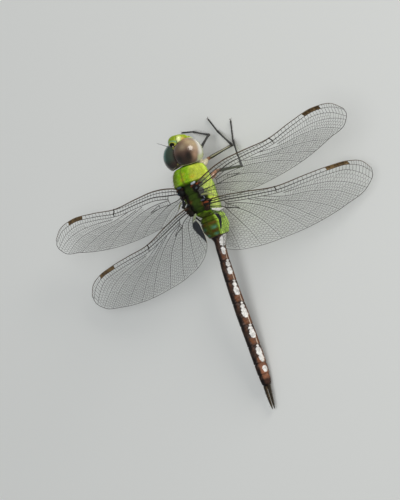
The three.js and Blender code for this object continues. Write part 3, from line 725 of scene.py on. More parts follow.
EYE_CENTRE = np.array([2.05, 0.6, 0.35])  # out, back, up
EYE_RADII = np.array([3.75, 4.1, 4.1])
EYE_MARKS = [  # a direction from the eye's middle as out, ahead and up, a size, a colour and a share
    ((0.95, 0.1, -0.05), 0.42, (0.34, 0.23, 0.15), 0.85),
    ((0.86, 0.45, 0.02), 0.34, (0.36, 0.27, 0.15), 0.9),
    ((0.66, 0.7, 0.24), 0.3, (0.35, 0.27, 0.155), 0.9),
    ((0.34, 0.94, 0.06), 0.28, (0.36, 0.2, 0.07), 0.8),
    ((0.42, 0.52, 0.74), 0.26, (0.25, 0.2, 0.13), 0.9),
    ((0.1, 0.62, 0.78), 0.26, (0.1, 0.075, 0.045), 0.8),
    ((0.86, -0.24, 0.42), 0.28, (0.4, 0.25, 0.155), 0.9),
    ((0.74, -0.4, 0.52), 0.18, (0.2, 0.12, 0.07), 0.7),
    ((0.7, -0.06, 0.71), 0.32, (0.006, 0.003, 0.002), 0.97),
    ((0.36, 0.1, 0.92), 0.3, (0.055, 0.03, 0.02), 0.85),
    ((0.66, -0.28, 0.7), 0.26, (0.007, 0.005, 0.003), 0.95),
    ((0.5, -0.44, 0.74), 0.24, (0.024, 0.016, 0.007), 0.85),
    ((0.08, -0.14, 0.99), 0.34, (0.006, 0.006, 0.003), 0.93),
    ((-0.12, -0.55, 0.83), 0.34, (0.012, 0.01, 0.006), 0.85),
]
FOREHEAD_MARK = (0.35, -3.05)  # the place of the round black mark, as left and back
REAR_WIDTH, REAR_HEIGHT, REAR_MIDDLE = 4.6, 3.66, 0.32  # half-sizes of the head's back, and its height
LEMON = (0.29, 0.37, 0.018)
FACE_GREEN = (0.22, 0.31, 0.016)


def nape_back(x, z):
    """How far back the head's hollow rear face lies."""
    return 8.7 - np.sqrt(np.maximum(49 - x * x - (z + 0.3) ** 2, 1))


def eye(name, sign):
    middle = EYE_CENTRE * (sign, 1, 1)
    p, faces = blob(middle, EYE_RADII, 2.0, 132, 96)
    p[:, 0] = np.where(p[:, 0] * sign < 0.02, 0.02 * sign, p[:, 0])
    behind = nape_back(p[:, 0], p[:, 2]) - 0.2
    rear = p[:, 1] - behind
    p[:, 1] = np.minimum(p[:, 1], behind)
    aim = (p - middle) / EYE_RADII * (sign, -1, 1)
    out, ahead, up = aim.T
    tint = painted(
        (0.05, 0.022, 0.014),
        ((0.13, 0.072, 0.048), 0.9 * step(ahead, -0.05, 0.5)),
        *[(colour, share * near(np.linalg.norm(aim - where, axis=1), 0, size))
          for where, size, colour, share in EYE_MARKS],
        # Pale below, greener towards the underside and behind.
        ((0.62, 0.62, 0.56), 0.95 * fall(up + 0.35 * ahead, -0.28, 0.12)),
        ((0.3, 0.34, 0.16), 0.85 * fall(up + 0.15 * ahead, -0.56, -0.34)),
        ((0.4, 0.45, 0.19), 0.75 * step(-ahead, 0.2, 0.45) * fall(up, 0, 0.3)),
    )
    if sign > 0:
        # Painted shade darkens the left eye, with a soft painted highlight on it and a painted blue-green
        # glint towards its outer side.
        inner = step(ahead, -0.35, 0.2) * fall(out, 0.2, 0.6) * step(up, 0.2, 0.6)
        outer = step(out - 0.3 * up, -0.3, 0.1) * step(ahead, -0.1, 0.3) * step(up, 0.1, 0.5)
        tint = painted(
            tint,
            ((0.014, 0.044, 0.03), 0.9 * inner),
            ((0.045, 0.04, 0.024), 0.6 * near(out, -0.53, 0.3) * near(ahead, 0.29, 0.4) * step(up, 0.4, 0.7)),
            ((0.07, 0.19, 0.165), 0.9 * outer),
        )
    tint = painted(
        tint,
        ((0.5, 0.47, 0.36), 0.85 * step(rear, -0.3, -0.12) * step(out, -0.45, -0.2)),
        ((0.02, 0.016, 0.014), 0.8 * near(p[:, 0], 0, 0.16) * step(up, 0.2, 0.5)),
    )
    shape = Shape()
    shape.add(p, faces, np.clip(tint, 0.004, 1))
    shape.make(f"compound_{name}", "eye", "eye_brown", [name], HEAD)


def frons():
    """The forehead: a swollen plate with a shelf on top that carries the round mark."""
    p, faces = blob((0, -3.0, 0.55), (2.65, 2.02, 1.68), 2.6, 110, 80)
    x, y, z = p.T
    top = step(z, 0.4, 1.5)
    z += top * (0.28 * near(x, 0, 1.5) - 0.1 * near(x, 0, 0.12) * step(-y, 3.2, 4))
    y -= 0.16 * near(z, 1.25, 0.35) * near(x, 0, 2) * (y < -3.2)
    gap = np.hypot((x - FOREHEAD_MARK[0]) * 0.55, y - FOREHEAD_MARK[1])
    upper = step(z, 1.2, 1.7)
    cheek = near(x, -2.05, 0.5) * step(z, 0.6, 1.15) * near(y, -3.8, 0.8)
    return p, faces, painted(
        FACE_GREEN,
        # Lemon on the right half and low down; the left half's darker green is painted shade.
        (LEMON, step(-x, 0.3, 1.7) + 0.7 * fall(z, -0.8, 0.4)),
        ((0.74, 0.78, 0.42), 0.9 * cheek),
        ((0.6, 0.33, 0.14), 0.6 * step(-x, 2.4, 2.6) * step(z, -0.4, 0.4)),
        ((0.16, 0.34, 0.22), 0.8 * upper * between(gap, 0.82, 1.1, 0.1) * step(-y, 2.8, 3.5)),
        ((0.5, 0.49, 0.07), upper * between(gap, 0.6, 0.76, 0.05)),
        ((0.008, 0.008, 0.006), upper * fall(gap, 0.55, 0.64)),
        ((0.01, 0.009, 0.008), upper * step(y, -2.35, -2) * fall(np.abs(x), 0.7, 1)),
    )


def face():
    shape = Shape()
    shape.add(*frons())

    # The crown's lump between the eyes and the forehead, black, with three small eyes.
    p, faces = blob((0, -2.0, 2.0), (0.95, 0.72, 0.85), 2.3, 48, 36)
    shape.add(p, faces, mixed((0.012, 0.011, 0.01), (0.35, 0.36, 0.08), 0.55 * step(p[:, 2], 2.62, 2.84)))
    for left, ahead, up, size in ((0, 2.55, 2.55, 0.19), (0.66, 2.15, 2.5, 0.17), (-0.66, 2.15, 2.5, 0.17)):
        shape.add(*blob(point(ahead, left, up), (size, size, size), 2, 20, 14), (0.45, 0.36, 0.22))

    # The two plates of the clypeus, the upper lip and the jaws beside it.
    p, faces = blob((0, -3.0, -1.05), (2.5, 1.6, 0.85), 2.7, 84, 56)
    p[:, 1] += 0.12 * near(p[:, 2], -1.45, 0.16) * (p[:, 1] < -3)
    # Painted shade: the clypeus's left half is greener and darker; a greener band also runs along its top.
    painted_shade_and_band = 0.6 * step(p[:, 0], 0, 1.8) + 0.5 * near(p[:, 2], -0.4, 0.25)
    shape.add(p, faces, mixed(LEMON, FACE_GREEN, painted_shade_and_band))
    p, faces = blob((0, -2.75, -1.95), (1.9, 1.45, 0.6), 2.5, 72, 44)
    shape.add(p, faces, mixed((0.52, 0.56, 0.2), (0.2, 0.18, 0.04), 0.8 * near(p[:, 2], -2.35, 0.14)))
    p, faces = blob((0, -2.5, -2.78), (1.85, 1.22, 0.8), 2.5, 84, 56)
    p[:, 2] += 0.14 * near(p[:, 0], 0, 0.35) * fall(p[:, 2], -3.4, -2.85)
    shape.add(p, faces, mixed(LEMON, (0.05, 0.035, 0.015), 0.9 * fall(p[:, 2], -3.52, -3.32)))
    for sign in (1, -1):
        p, faces = blob((sign * 1.75, -1.75, -2.3), (0.7, 1.15, 0.85), 2.3, 48, 36)
        shape.add(p, faces, mixed((0.5, 0.52, 0.2), (0.06, 0.04, 0.02), 0.8 * fall(p[:, 2], -3, -2.75)))
        shape.add(*blob((sign * 2.35, -0.9, -1.6), (1.1, 2.3, 1.5), 2.2, 56, 40), (0.44, 0.47, 0.17))
    # The lower lip: a middle lobe and two side lobes that close the mouth from below.
    p, faces = blob((0, -0.8, -3.35), (1.1, 1.85, 0.66), 2.4, 56, 40)
    p[:, 2] += 0.08 * near(p[:, 0], 0, 0.12) * (p[:, 2] < -3.25)
    shape.add(p, faces, (0.46, 0.42, 0.17))
    for sign in (1, -1):
        p, faces = blob((sign * 1.1, -1.0, -3.28), (0.85, 1.55, 0.6), 2.3, 48, 36)
        shape.add(p, faces, mixed((0.5, 0.45, 0.18), (0.09, 0.06, 0.03), 0.7 * step(-p[:, 1], 2.3, 2.8)))
    shape.add(*blob((0, -0.3, -1.9), (2.4, 2.7, 1.75), 2.3, 64, 48), (0.4, 0.38, 0.16))
    shape.make("face_plates", "face", "face_green", ["frons", "clypeus", "labrum", "labium"], HEAD)


def nape():
    """The hollow back of the head, its rim behind the eyes and the small plate at their top."""
    angle = ring_angles(120)
    lip = ((0.01, 0.0), (0.25, 0.0), (0.5, 0.0), (0.7, 0.0), (0.85, 0.0), (0.95, 0.02), (0.99, 0.1),
           (1.0, 0.22), (0.98, 0.36), (0.93, 0.46), (0.8, 0.5), (0.5, 0.5), (0.2, 0.5), (0.01, 0.5))
    rings = []
    for reach, depth in lip:
        x = REAR_WIDTH * reach * np.sin(angle)
        z = REAR_MIDDLE + REAR_HEIGHT * reach * np.cos(angle)
        rings.append(np.stack([x, nape_back(x, z) - depth, z], -1))
    p, faces = sleeve(rings)
    x, _, z = p.T
    out = np.hypot(x / REAR_WIDTH, (z - REAR_MIDDLE) / REAR_HEIGHT)
    shape = Shape()
    shape.add(p, faces, painted(
        (0.025, 0.02, 0.014),
        ((0.46, 0.43, 0.26), step(out, 0.86, 0.95)),
        ((0.1, 0.08, 0.035), near(x, 0, 0.9) * step(z, 1.9, 2.9)),
        ((0.04, 0.035, 0.02), 0.9 * step(x, -2.4, -0.9)),
    ))
    shape.add(*blob((0, 2.25, 3.25), (0.62, 0.42, 0.4), 2.1, 40, 28), (0.16, 0.15, 0.05))
    shape.make("head_back", "face", "face_green", ["head_capsule"], HEAD)


def antenna(name, sign):
    shape = Shape()
    root = point(2.35, sign * 1.25, 2.0)
    way = np.linspace(0, 1, 30)
    droop = np.outer(0.25 * way ** 2, (0, 0.6, -0.8))
    line = root + unit(point(2.6, sign * 2.3, 2.0)) * (4.3 * way)[:, None] + droop
    radius = np.interp(way, (0, 0.07, 0.1, 0.17, 0.2, 0.6, 1), (0.26, 0.24, 0.16, 0.17, 0.085, 0.06, 0.03))
    shape.add(*tube(line, radius, 10), (0.014, 0.012, 0.01))
    for spot in line[10:30:5]:
        shape.add(*blob(spot, (0.075, 0.075, 0.075), 2, 10, 8), (0.03, 0.025, 0.02))
    shape.make(f"feeler_{name}", "leg", "leg_black", [f"antenna_{name}"], HEAD)


# ---------------- legs

HIPS = {"fore": (8.2, 1.0, -2.1), "mid": (5.6, 1.7, -3.3), "hind": (1.9, 2.6, -4.0)}  # ahead, out, up
LEGS = [  # the knee, then the ankle's and the toe's places on the floor
    ("fore", "right", (-1.8, -12.6, 2.6), (5.0, -15.7), (8.9, -16.7)),
    ("mid", "right", (-9.5, -7.3, 3.5), (-3.1, -13.4), (-0.8, -17.5)),
    ("hind", "right", (-12.5, -0.6, 5.4), (-7.6, -9.4), (-8.3, -14.8)),
    ("fore", "left", (8.5, -9.3, 6.9), (7.0, -10.8), (8.6, -14.2)),
    ("mid", "left", (7.9, 1.2, 6.0), (10.9, -4.6), (11.3, -9.2)),
    ("hind", "left", (8.8, 4.0, 7.0), (5.9, 11.9), (4.4, 17.2)),
]
COXA_TOP = {"fore": (2.6, 1.6), "mid": (1.3, 2.5), "hind": (1.3, 2.5)}  # behind the hip, and over it
FEMUR = {"fore": 0.5, "mid": 0.52, "hind": 0.55}
FEMUR_SHEEN = {"fore": 0.25, "mid": 0.95, "hind": 0.12}  # how strong the painted highlight along the femur's upper side is
BROWN_UNTIL = {"fore": 0.08, "mid": 0.09, "hind": 0.16}  # how far along the femur its brown base goes
LEG_BLACK = (0.016, 0.015, 0.013)
LEG_BASE = (0.3, 0.12, 0.05)
# the colour of the femur's painted highlight
LEG_HIGHLIGHT = (0.44, 0.42, 0.3)
ANKLE_HEIGHT, TOE_HEIGHT = 0.42, 0.2


def limb(shape, a, b, profile, radius, bow=0.0, flat=1.0, tint=LEG_BLACK, brown=None, sheen=0.0):
    """A leg's length from a to b, bowed upwards, brown at first and with a painted grey highlight along its
    upper side.
    """
    way = np.linspace(0, 1, 44)
    line = a + (b - a) * way[:, None]
    line[:, 2] += bow * np.sin(way * math.pi)
    places, widths = zip(*profile)
    size = radius * curve(places, widths, way)
    p, faces = tube(line, size, 20, flat)
    along = np.clip((p - a) @ (b - a) / np.dot(b - a, b - a), 0, 1)
    middle = np.stack([np.interp(along, way, column) for column in line.T], -1)
    above = (p - middle) @ (-0.5, 0, 0.86) / np.interp(along, way, size)
    # Painted highlight: a pale grey stripe along the femur's upper side.
    grey = sheen * step(above, 0.72, 0.95) * between(along, 0.12, 0.93, 0.05)
    tints = mixed(tint, LEG_HIGHLIGHT, grey)
    if brown is not None:
        tints = mixed(tints, LEG_BASE, fall(along, brown * 0.6, brown * 1.3))
    shape.add(p, faces, tints)
    return line


def spines(shape, line, length, every, radius, start=0.12, lean=0.55):
    """Two rows of spines down the underside of a leg's length, pointing on and out."""
    along = unit(line[-1] - line[0])
    side = unit(np.cross((0, 0, 1), along))
    down = np.cross(side, along)
    down = down if down[2] < 0 else -down
    total = np.linalg.norm(line[-1] - line[0])
    steps = np.linspace(0, 1, len(line))
    for sign in (1, -1):
        for way in np.arange(start, 0.97, every / total):
            root = np.array([np.interp(way, steps, column) for column in line.T])
            aim = unit(along * lean + side * sign * 0.75 + down * 0.45 + rng.normal(size=3) * 0.05)
            tip = root + aim * (length * (0.8 + 0.35 * math.sin(way * math.pi)) + radius)
            tip[2] = max(tip[2], 0.03)
            shape.add(*rod(root + aim * radius * 0.5, tip, 0.045, 0.008, 5), LEG_BLACK)


def leg(name, side, knee, ankle, toe):
    sign = 1 if side == "left" else -1
    ahead, out, up = HIPS[name]
    behind, above = COXA_TOP[name]
    to_floor = np.linalg.inv(FLOOR) @ FORE
    hip = at(to_floor, point(ahead, sign * out, up))
    top = at(to_floor, point(ahead - behind, sign * out * 0.7, up + above))
    knee, ankle, toe = np.array(knee), np.array([*ankle, ANKLE_HEIGHT]), np.array([*toe, TOE_HEIGHT])
    thick = FEMUR[name]
    shape = Shape()
    pale = CREAM if (name, side) == ("mid", "right") else LEG_BASE
    limb(shape, top, hip, [(0, 0.85), (0.45, 1.12), (0.85, 0.8), (1, 0.6)], 0.72, tint=pale)
    start = hip + unit(knee - hip) * 0.35
    shape.add(*blob(start, (0.5, 0.5, 0.48), 2.2, 24, 18), (0.22, 0.12, 0.07))
    profile = [(0, 0.75), (0.1, 0.98), (0.3, 0.95), (0.75, 0.74), (0.93, 0.82), (1, 0.78)]
    line = limb(
        shape, start, knee, profile, thick * 0.9, bow=0.12, flat=0.92,
        brown=BROWN_UNTIL[name], sheen=FEMUR_SHEEN[name])
    spines(shape, line, 0.3, 0.55, thick * 0.7)
    shape.add(*blob(knee, (0.42, 0.42, 0.42), 2.3, 24, 18), LEG_BLACK)
    profile = [(0, 0.9), (0.06, 1.25), (0.2, 1.0), (0.8, 0.85), (0.96, 1.0), (1, 0.8)]
    line = limb(shape, knee, ankle, profile, 0.29, bow=0.1)
    spines(shape, line, 0.85 if name == "hind" else 0.75, 0.62, 0.2)
    # Three tarsal joints, each longer than the last, and two claws.
    joints = [ankle + (toe - ankle) * way for way in (0.0, 0.2, 0.46, 0.93)]
    for a, b in zip(joints, joints[1:]):
        limb(shape, a, b, [(0, 0.7), (0.2, 0.95), (0.8, 1.0), (0.95, 1.15), (1, 0.8)], 0.2)
        spines(shape, np.linspace(a, b, 12), 0.14, 0.3, 0.14, start=0.25, lean=0.9)
    along = unit(toe - ankle)
    across = np.cross((0, 0, 1), along)
    for part in (1, -1):
        hook = [joints[3] + along * on + across * part * out + (0, 0, up)
                for on, out, up in ((0, 0, 0), (0.3, 0.14, 0.14), (0.55, 0.3, 0.05), (0.66, 0.36, -0.15))]
        line = smooth_path(hook, 14)
        line[:, 2] = np.maximum(line[:, 2], 0.05)
        shape.add(*tube(line, np.linspace(0.085, 0.02, 14), 8), (0.05, 0.035, 0.02))
    nodes = [f"{part}_{name}_{side}" for part in ("coxa", "femur", "tibia", "tarsus")]
    shape.make(f"leg_{name}_{side}", "leg", "leg_black", nodes, FLOOR)


# ---------------- wings

FOREWING = {  # each line as (out, back) points in the wing's own plane
    "root": (3.7, 0.0, 6.0),
    "rise": 1.1,  # how far the veins climb to the hinge
    "leading": [(-1.3, 0.0), (0.4, -0.85), (3.5, -1.45), (9.5, -1.7), (16, -0.9), (25.5, 0.5), (34, 0.25),
                (42.5, 0.6), (47.8, 2.5), (50.0, 4.9)],
    "trailing": [(-1.2, 3.0), (0.3, 3.6), (2.4, 5.0), (6, 7.2), (13, 8.8), (23, 10.1), (33, 10.4), (42, 9.6),
                 (48.6, 8.5), (50.25, 6.6), (50.0, 4.9)],
    "Sc": [(-1.3, 0.35), (1.5, -0.35), (5, -0.8), (10, -0.95), (16, -0.3), (22, 0.45), (25.6, 0.62)],
    "RA": [(-1.3, 0.8), (1.5, 0.45), (5, 0.25), (10, -0.15), (16, 0.4), (25.6, 1.6), (34, 1.25), (42.5, 1.6),
           (47.3, 3.5), (49.6, 5.6)],
    "RP1": [(4.8, 1.1), (10, 0.75), (16, 1.35), (20.5, 1.95), (25.6, 2.4), (34, 2.15), (42, 2.6), (46.6, 4.5),
            (49.8, 7.2)],
    "IR2": [(27, 3.0), (35, 3.3), (42, 4.3), (46.5, 6.1), (49.2, 8.0)],
    "RP2": [(20.5, 1.95), (27, 3.6), (35, 4.6), (42, 6.3), (46.8, 8.9)],
    "IR3": [(17.5, 2.0), (24, 3.9), (32, 5.9), (38, 8.0), (41.5, 9.7)],
    "RP3": [(15, 1.5), (20, 3.3), (27, 5.8), (33, 8.6), (36, 10.2)],
    "MA": [(4.9, 1.5), (10, 1.9), (15, 2.9), (21, 5.0), (27, 7.8), (31, 10.3)],
    "MP": [(4.4, 2.6), (8.5, 3.0), (13, 4.2), (18, 6.6), (22.5, 10.0)],
    "CuA": [(-1.3, 1.5), (1.2, 2.05), (4.4, 2.6), (8.2, 4.1), (11.5, 5.6), (14.8, 7.6), (17, 9.4)],
    "A1": [(-1.3, 2.2), (1.2, 2.8), (3, 3.5), (6.2, 5.2), (10, 8.2)],
    "nodus": 25.6,
    "stigma": (38.2, 43.8),
    "triangle": [(8.6, 2.1), (8.5, 3.0), (12.4, 3.6)],
    "arculus": [(4.6, 0.28), (4.9, 1.4), (4.4, 2.6)],
}
HINDWING = {
    "root": (3.9, 4.7, 5.6),
    "rise": 0.15,
    "leading": [(-0.6, 0), (4, 0), (10, 0.5), (20.5, 1.6), (29, 0.9), (37, 0.4), (42.5, 0.5), (46.6, 1.7),
                (48.6, 3.9)],
    "trailing": [(-0.6, 3.0), (-0.95, 4.2), (-1.2, 6.8), (-1.1, 9.8), (0.2, 12.6), (3.9, 14.4), (10, 15.2),
                 (20, 14.9), (30, 13.6), (39, 11.3), (46.4, 8.2), (48.5, 5.7), (48.6, 3.9)],
    "Sc": [(-0.8, 0.45), (5, 0.6), (10, 1.1), (16, 1.6), (19.9, 1.65)],
    "RA": [(-0.8, 1.0), (5, 1.25), (10, 1.75), (16, 2.25), (20, 2.5), (29, 1.85), (36, 1.35), (42.5, 1.5),
           (46, 2.9), (48.2, 5.0)],
    "RP1": [(4.6, 1.9), (10, 2.5), (15.5, 3.0), (20, 3.3), (29, 2.75), (36, 2.35), (42, 2.75), (45.4, 4.5),
            (48, 6.7)],
    "IR2": [(22, 3.7), (30, 3.75), (37, 4.5), (42, 6.2), (46, 8.5)],
    "RP2": [(15.5, 3.0), (22, 4.6), (30, 5.3), (37, 6.9), (43, 9.9)],
    "IR3": [(13.5, 3.1), (20, 5.2), (28, 7.5), (34, 10.2), (37, 12.1)],
    "RP3": [(11.5, 2.8), (17, 4.9), (24, 8.2), (29, 11.7), (31.5, 13.4)],
    "MA": [(4.7, 2.3), (9, 3.1), (14, 4.9), (20, 8.4), (24.5, 12.2), (26.5, 14.2)],
    "MP": [(4.3, 3.2), (7, 3.9), (11, 6.2), (15, 10.0), (18.5, 14.9)],
    "CuA": [(-0.8, 1.6), (4.3, 3.2), (5.8, 5.2), (8.3, 8.5), (10.6, 12), (12.2, 15.1)],
    "A1": [(-0.8, 2.2), (2.2, 3.9), (3.4, 6.6), (4.6, 10), (5.8, 14.7)],
    "A2": [(-0.7, 2.6), (0.6, 4.2), (0.9, 6.5), (1.0, 9.5), (0.2, 13.1)],
    "nodus": 19.9,
    "stigma": (35.6, 42.2),
    "triangle": [(5.2, 2.5), (4.9, 3.5), (8.4, 4.2)],
    "arculus": [(4.2, 1.2), (4.7, 2.1), (4.3, 3.2)],
}
VEIN_NAMES = ("Sc", "RA", "RP1", "IR2", "RP2", "IR3", "RP3", "MA", "MP", "CuA", "A1", "A2")
THICKNESS = {"Sc": 0.13, "RA": 0.17, "CuA": 0.13, "RP1": 0.1, "MA": 0.1, "MP": 0.1, "A1": 0.09}  # at the root
CELLS = {"Sc": (1.15, 9), "RA": (1.0, 1.5), "RP1": (0.78, 1.0)}  # behind a vein: pitch, and height of a cell
SMALL_CELLS = (0.72, 0.86)
WINGS = [  # sweep, droop and twist in degrees
    ("forewing", "left", FOREWING, 8.1, 8.4, 4.4),
    ("forewing", "right", FOREWING, 10.3, -1.4, 6.5),
    ("hindwing", "left", HINDWING, -8.0, 13.0, 4.4),
    ("hindwing", "right", HINDWING, -3.9, 7.3, 0.4),
]
INNER_EDGE = {"left": (0.2, -0.9), "right": (2.0, 1.7)}  # how far it hangs down and stands out, behind
FLAP = {"left": (4.0, 10.9, 2.3), "right": (3.7, 8.2, 1.35)}  # the membranule's ends and its width
CORDS = {  # the pale cord by the body: its course and colour
    "left": ([(-2.3, 2.7), (-1.0, 3.3), (0.3, 3.9)], (0.26, 0.3, 0.16)),
    "right": ([(-0.1, 2.5), (1.8, 3.1), (3.9, 3.05)], (0.66, 0.65, 0.6)),
}
VEIN = (0.022, 0.016, 0.011)
COSTA = (0.085, 0.055, 0.028)
MAIN_STEPS = 90
MEMBRANE = 0.012  # half the membrane's thickness
SINGLE = 9  # a cell so high that a band is never parted lengthways


def wing_frame(side, root, sweep, droop, twist):
    sign = 1 if side == "left" else -1
    forward, down, turn = [math.radians(v) for v in (sweep, droop, twist)]
    out = np.array([
        sign * math.cos(forward) * math.cos(down), -math.sin(forward) * math.cos(down), -math.sin(down)])
    back = unit(np.array([0, 1.0, 0]) - out[1] * out)
    chord = back * math.cos(turn) - np.cross(out, back) * sign * math.sin(turn)
    origin = at(np.linalg.inv(BODY) @ FORE, (sign * root[0], root[1], root[2]))
    return BODY @ placed(np.stack([out, chord, np.cross(out, chord) * sign], 1), origin)


def stretch(line, start, end):
    """The part of a line that lies between two places out along the wing."""
    return line[(line[:, 0] > start) & (line[:, 0] < end)]


def spot_at(line, out):
    return line[np.abs(line[:, 0] - out).argmin()]


def beside(line, other):
    """The part of line that lies beside other: from where other starts."""
    return line[np.linalg.norm(line - other[0], axis=1).argmin():]


def cells(a, b, pitch, cell):
    """Straight pieces that part the band between two lines into single or staggered cells."""
    a, b = beside(a, b), beside(b, a)
    if len(a) < 6 or len(b) < 6:
        return []
    length = (lengths_along(a)[-1] + lengths_along(b)[-1]) / 2
    count = max(3, int(round(length / pitch)))
    fine_a, fine_b = even(a, 2 * count + 1), even(b, 2 * count + 1)
    width = np.linalg.norm(fine_a - fine_b, axis=1)
    rows = np.maximum(1, np.round(width / cell)).astype(int)
    rows[1::2] = rows[:-1:2]

    def stagger(k, j):
        return 0.17 if (k + j) % 2 == 0 else -0.17

    def spot(k, j, shift):
        uneven = shift + 0.05 * math.sin(k * 2.7 + j * 1.9) if 0 < j < rows[k] else 0
        share = (j + uneven) / rows[k]
        return fine_a[k] * (1 - share) + fine_b[k] * share

    pieces = []
    for k in range(1, 2 * count):
        changed = rows[k] != rows[k - 1]
        for j in range(rows[k]):
            if (changed or (k + j) % 2 == 0) and width[k] > 0.12:
                pieces.append((spot(k, j, stagger(k, j)), spot(k, j + 1, -stagger(k, j))))
        for j in range(1, rows[k]):
            if not changed:
                pieces.append((spot(k - 1, j, stagger(k - 1, j)), spot(k, j, stagger(k, j))))
    return pieces


class Wing:
    """A wing's lines in its own plane, and the veins gathered as one shape."""

    def __init__(self, plan, down, out):
        self.plan, self.down, self.out = plan, down, out
        self.shape = Shape()
        self.leading = smooth_path(plan["leading"], 240)
        self.trailing = smooth_path(plan["trailing"], 240)
        self.lines = {key: smooth_path(plan[key], MAIN_STEPS) for key in VEIN_NAMES if key in plan}
        fade = np.linspace(0, 1, MAIN_STEPS)[:, None] ** 6
        for key, line in self.lines.items():
            if key != "Sc":
                target = self.trailing[np.linalg.norm(self.trailing - line[-1], axis=1).argmin()]
                self.lines[key] = line + (target - line[-1]) * fade

    def height(self, q):
        """The pleats: the front of the wing is folded along its veins, the rest waves a little."""
        out, back = q[..., 0], q[..., 1]
        behind = np.maximum(back - np.interp(out, self.leading[:, 0], self.leading[:, 1]), 0)
        pleat = 0.13 * np.cos(behind * 2 * math.pi / 1.25) * np.exp(-behind / 1.9)
        wave = 0.05 * np.sin(out * 0.55 + back * 1.1) * step(behind, 2, 5)
        climb = self.plan["rise"] * fall(out, -1.6, 2.6)
        return (pleat + wave) * step(out, -0.5, 1.5) + climb - self.down * self.inner(q)

    def inner(self, q):
        """One along the inner edge, falling to nothing outwards."""
        return fall(q[..., 0], -1.5, 4.5) * between(q[..., 1], 3.5, 12.5, 2.3)

    def lift(self, q, extra=0.0):
        q = np.asarray(q, float)
        moved = q + self.inner(q)[..., None] * (self.out, 0)
        return np.concatenate([moved, (self.height(q) + extra)[..., None]], -1)

    def membrane(self):
        """A thin closed sheet between the leading and trailing edges."""
        back = np.linspace(0, 1, 70)[:, None]
        lead, trail = even(self.leading, 200), even(self.trailing, 200)
        grid = lead[:, None] * (1 - back) + trail[:, None] * back
        rings = np.concatenate([self.lift(grid, MEMBRANE), self.lift(grid, -MEMBRANE)[:, ::-1]], axis=1)
        rings[-1] = rings[-2] * 0.02 + rings[-1].mean(0) * 0.98
        return sleeve(rings)

    def vein(self, line, radius, tint=VEIN, sides=6):
        self.shape.add(*tube(self.lift(line), radius, sides), tint)

    def main_veins(self):
        taper = np.linspace(1, 0, len(self.leading))
        self.vein(self.leading, 0.07 + 0.12 * taper, COSTA, 8)
        self.vein(self.trailing, 0.05 + 0.03 * (1 - taper), VEIN, 5)
        for key, line in self.lines.items():
            start = THICKNESS.get(key, 0.075)
            thickness = np.interp(np.linspace(0, 1, len(line)), (0, 0.35, 1), (start, start * 0.7, 0.045))
            self.vein(line, thickness)
        self.vein(smooth_path(self.plan["arculus"], 12), 0.09)
        corners = self.plan["triangle"]
        for a, b in zip(corners, corners[1:] + corners[:1]):
            self.vein(np.linspace(a, b, 6), 0.075)

    def nodus(self):
        """A thick joint across the front veins."""
        out = self.plan["nodus"]
        front = spot_at(self.leading, out)
        middle, back = spot_at(self.lines["RA"], out + 0.35), spot_at(self.lines["RP1"], out + 0.3)
        self.vein(np.linspace(front, middle, 8), 0.17)
        self.vein(np.linspace(middle, back, 6), 0.1)
        self.shape.add(*blob(self.lift(front), (0.3, 0.2, 0.17), 2, 18, 12), VEIN)
        self.shape.add(*blob(self.lift(middle), (0.22, 0.17, 0.15), 2, 18, 12), VEIN)

    def crosses(self, a, b, pitch, cell, radius):
        for start, end in cells(a, b, pitch, cell):
            if np.linalg.norm(end - start) > 0.08:
                self.shape.add(*rod(self.lift(start), self.lift(end), radius), VEIN)

    def cross_veins(self):
        lines, nodus, far = self.lines, self.plan["nodus"], 99
        low, high = self.plan["stigma"]
        ra = lines["RA"]
        self.crosses(stretch(self.leading, 0.4, nodus), stretch(lines["Sc"], 0.4, far), 1.15, SINGLE, 0.05)
        self.crosses(stretch(self.leading, nodus, low), stretch(ra, nodus, low), 1.35, SINGLE, 0.045)
        self.crosses(stretch(self.leading, high, far), stretch(ra, high, far), 0.7, SINGLE, 0.035)
        for front, back in zip(lines, list(lines)[1:]):
            behind = stretch(ra, -far, nodus + 0.2) if front == "Sc" else lines[back]
            radius = 0.045 if front in ("Sc", "RA") else 0.034
            self.crosses(lines[front], behind, *CELLS.get(front, SMALL_CELLS), radius)
        # The field behind the last vein, out to the trailing edge.
        last = list(lines.values())[-1]
        end = np.linalg.norm(self.trailing - last[-1], axis=1).argmin()
        self.crosses(last, self.trailing[:max(end, 8)], *SMALL_CELLS, 0.034)

    def stigma(self):
        """The dark cell between the costa and the radius, with a vein at each end."""
        low, high = self.plan["stigma"]
        chords = {s: (spot_at(self.leading, s), spot_at(self.lines["RA"], s + 0.25))
                  for s in np.linspace(low, high, 40)}
        rings = []
        for a, b in chords.values():
            chord = np.linspace(a, b, 7)
            rings.append(np.concatenate([self.lift(chord, 0.1), self.lift(chord, -0.1)[::-1]]))
        p, faces = sleeve(rings)
        mottling = 0.5 + 0.5 * ripple(p, 2, 4)
        self.shape.add(p, faces, mixed((0.075, 0.046, 0.02), (0.17, 0.105, 0.04), mottling))
        for s in (low, high):
            self.vein(np.linspace(*chords[s], 5), 0.08)

    def membranule(self, side):
        """The dark flap along the hindwing's inner edge, with a pale border."""
        first, last, widest = FLAP[side]
        edge = self.trailing
        edge = even(edge[(edge[:, 1] > first) & (edge[:, 1] < last) & (edge[:, 0] < 1)], 48)
        width = widest * curve((0, 0.12, 0.4, 0.7, 1), (0.7, 1.0, 0.9, 0.55, 0.03), np.linspace(0, 1, 48))
        rings = []
        for place, wide in zip(edge, width):
            chord = np.linspace(place - (0.03, 0), place + (wide, 0.1), 6)
            rings.append(np.concatenate([self.lift(chord, 0.06), self.lift(chord[::-1], -0.06)]))
        p, faces = sleeve(rings)
        grey = fall(p[:, 1], first, first + 0.35)
        self.shape.add(p, faces, mixed((0.017, 0.019, 0.023), (0.3, 0.3, 0.24), grey))
        self.vein(edge, 0.06, (0.5, 0.48, 0.36), 5)

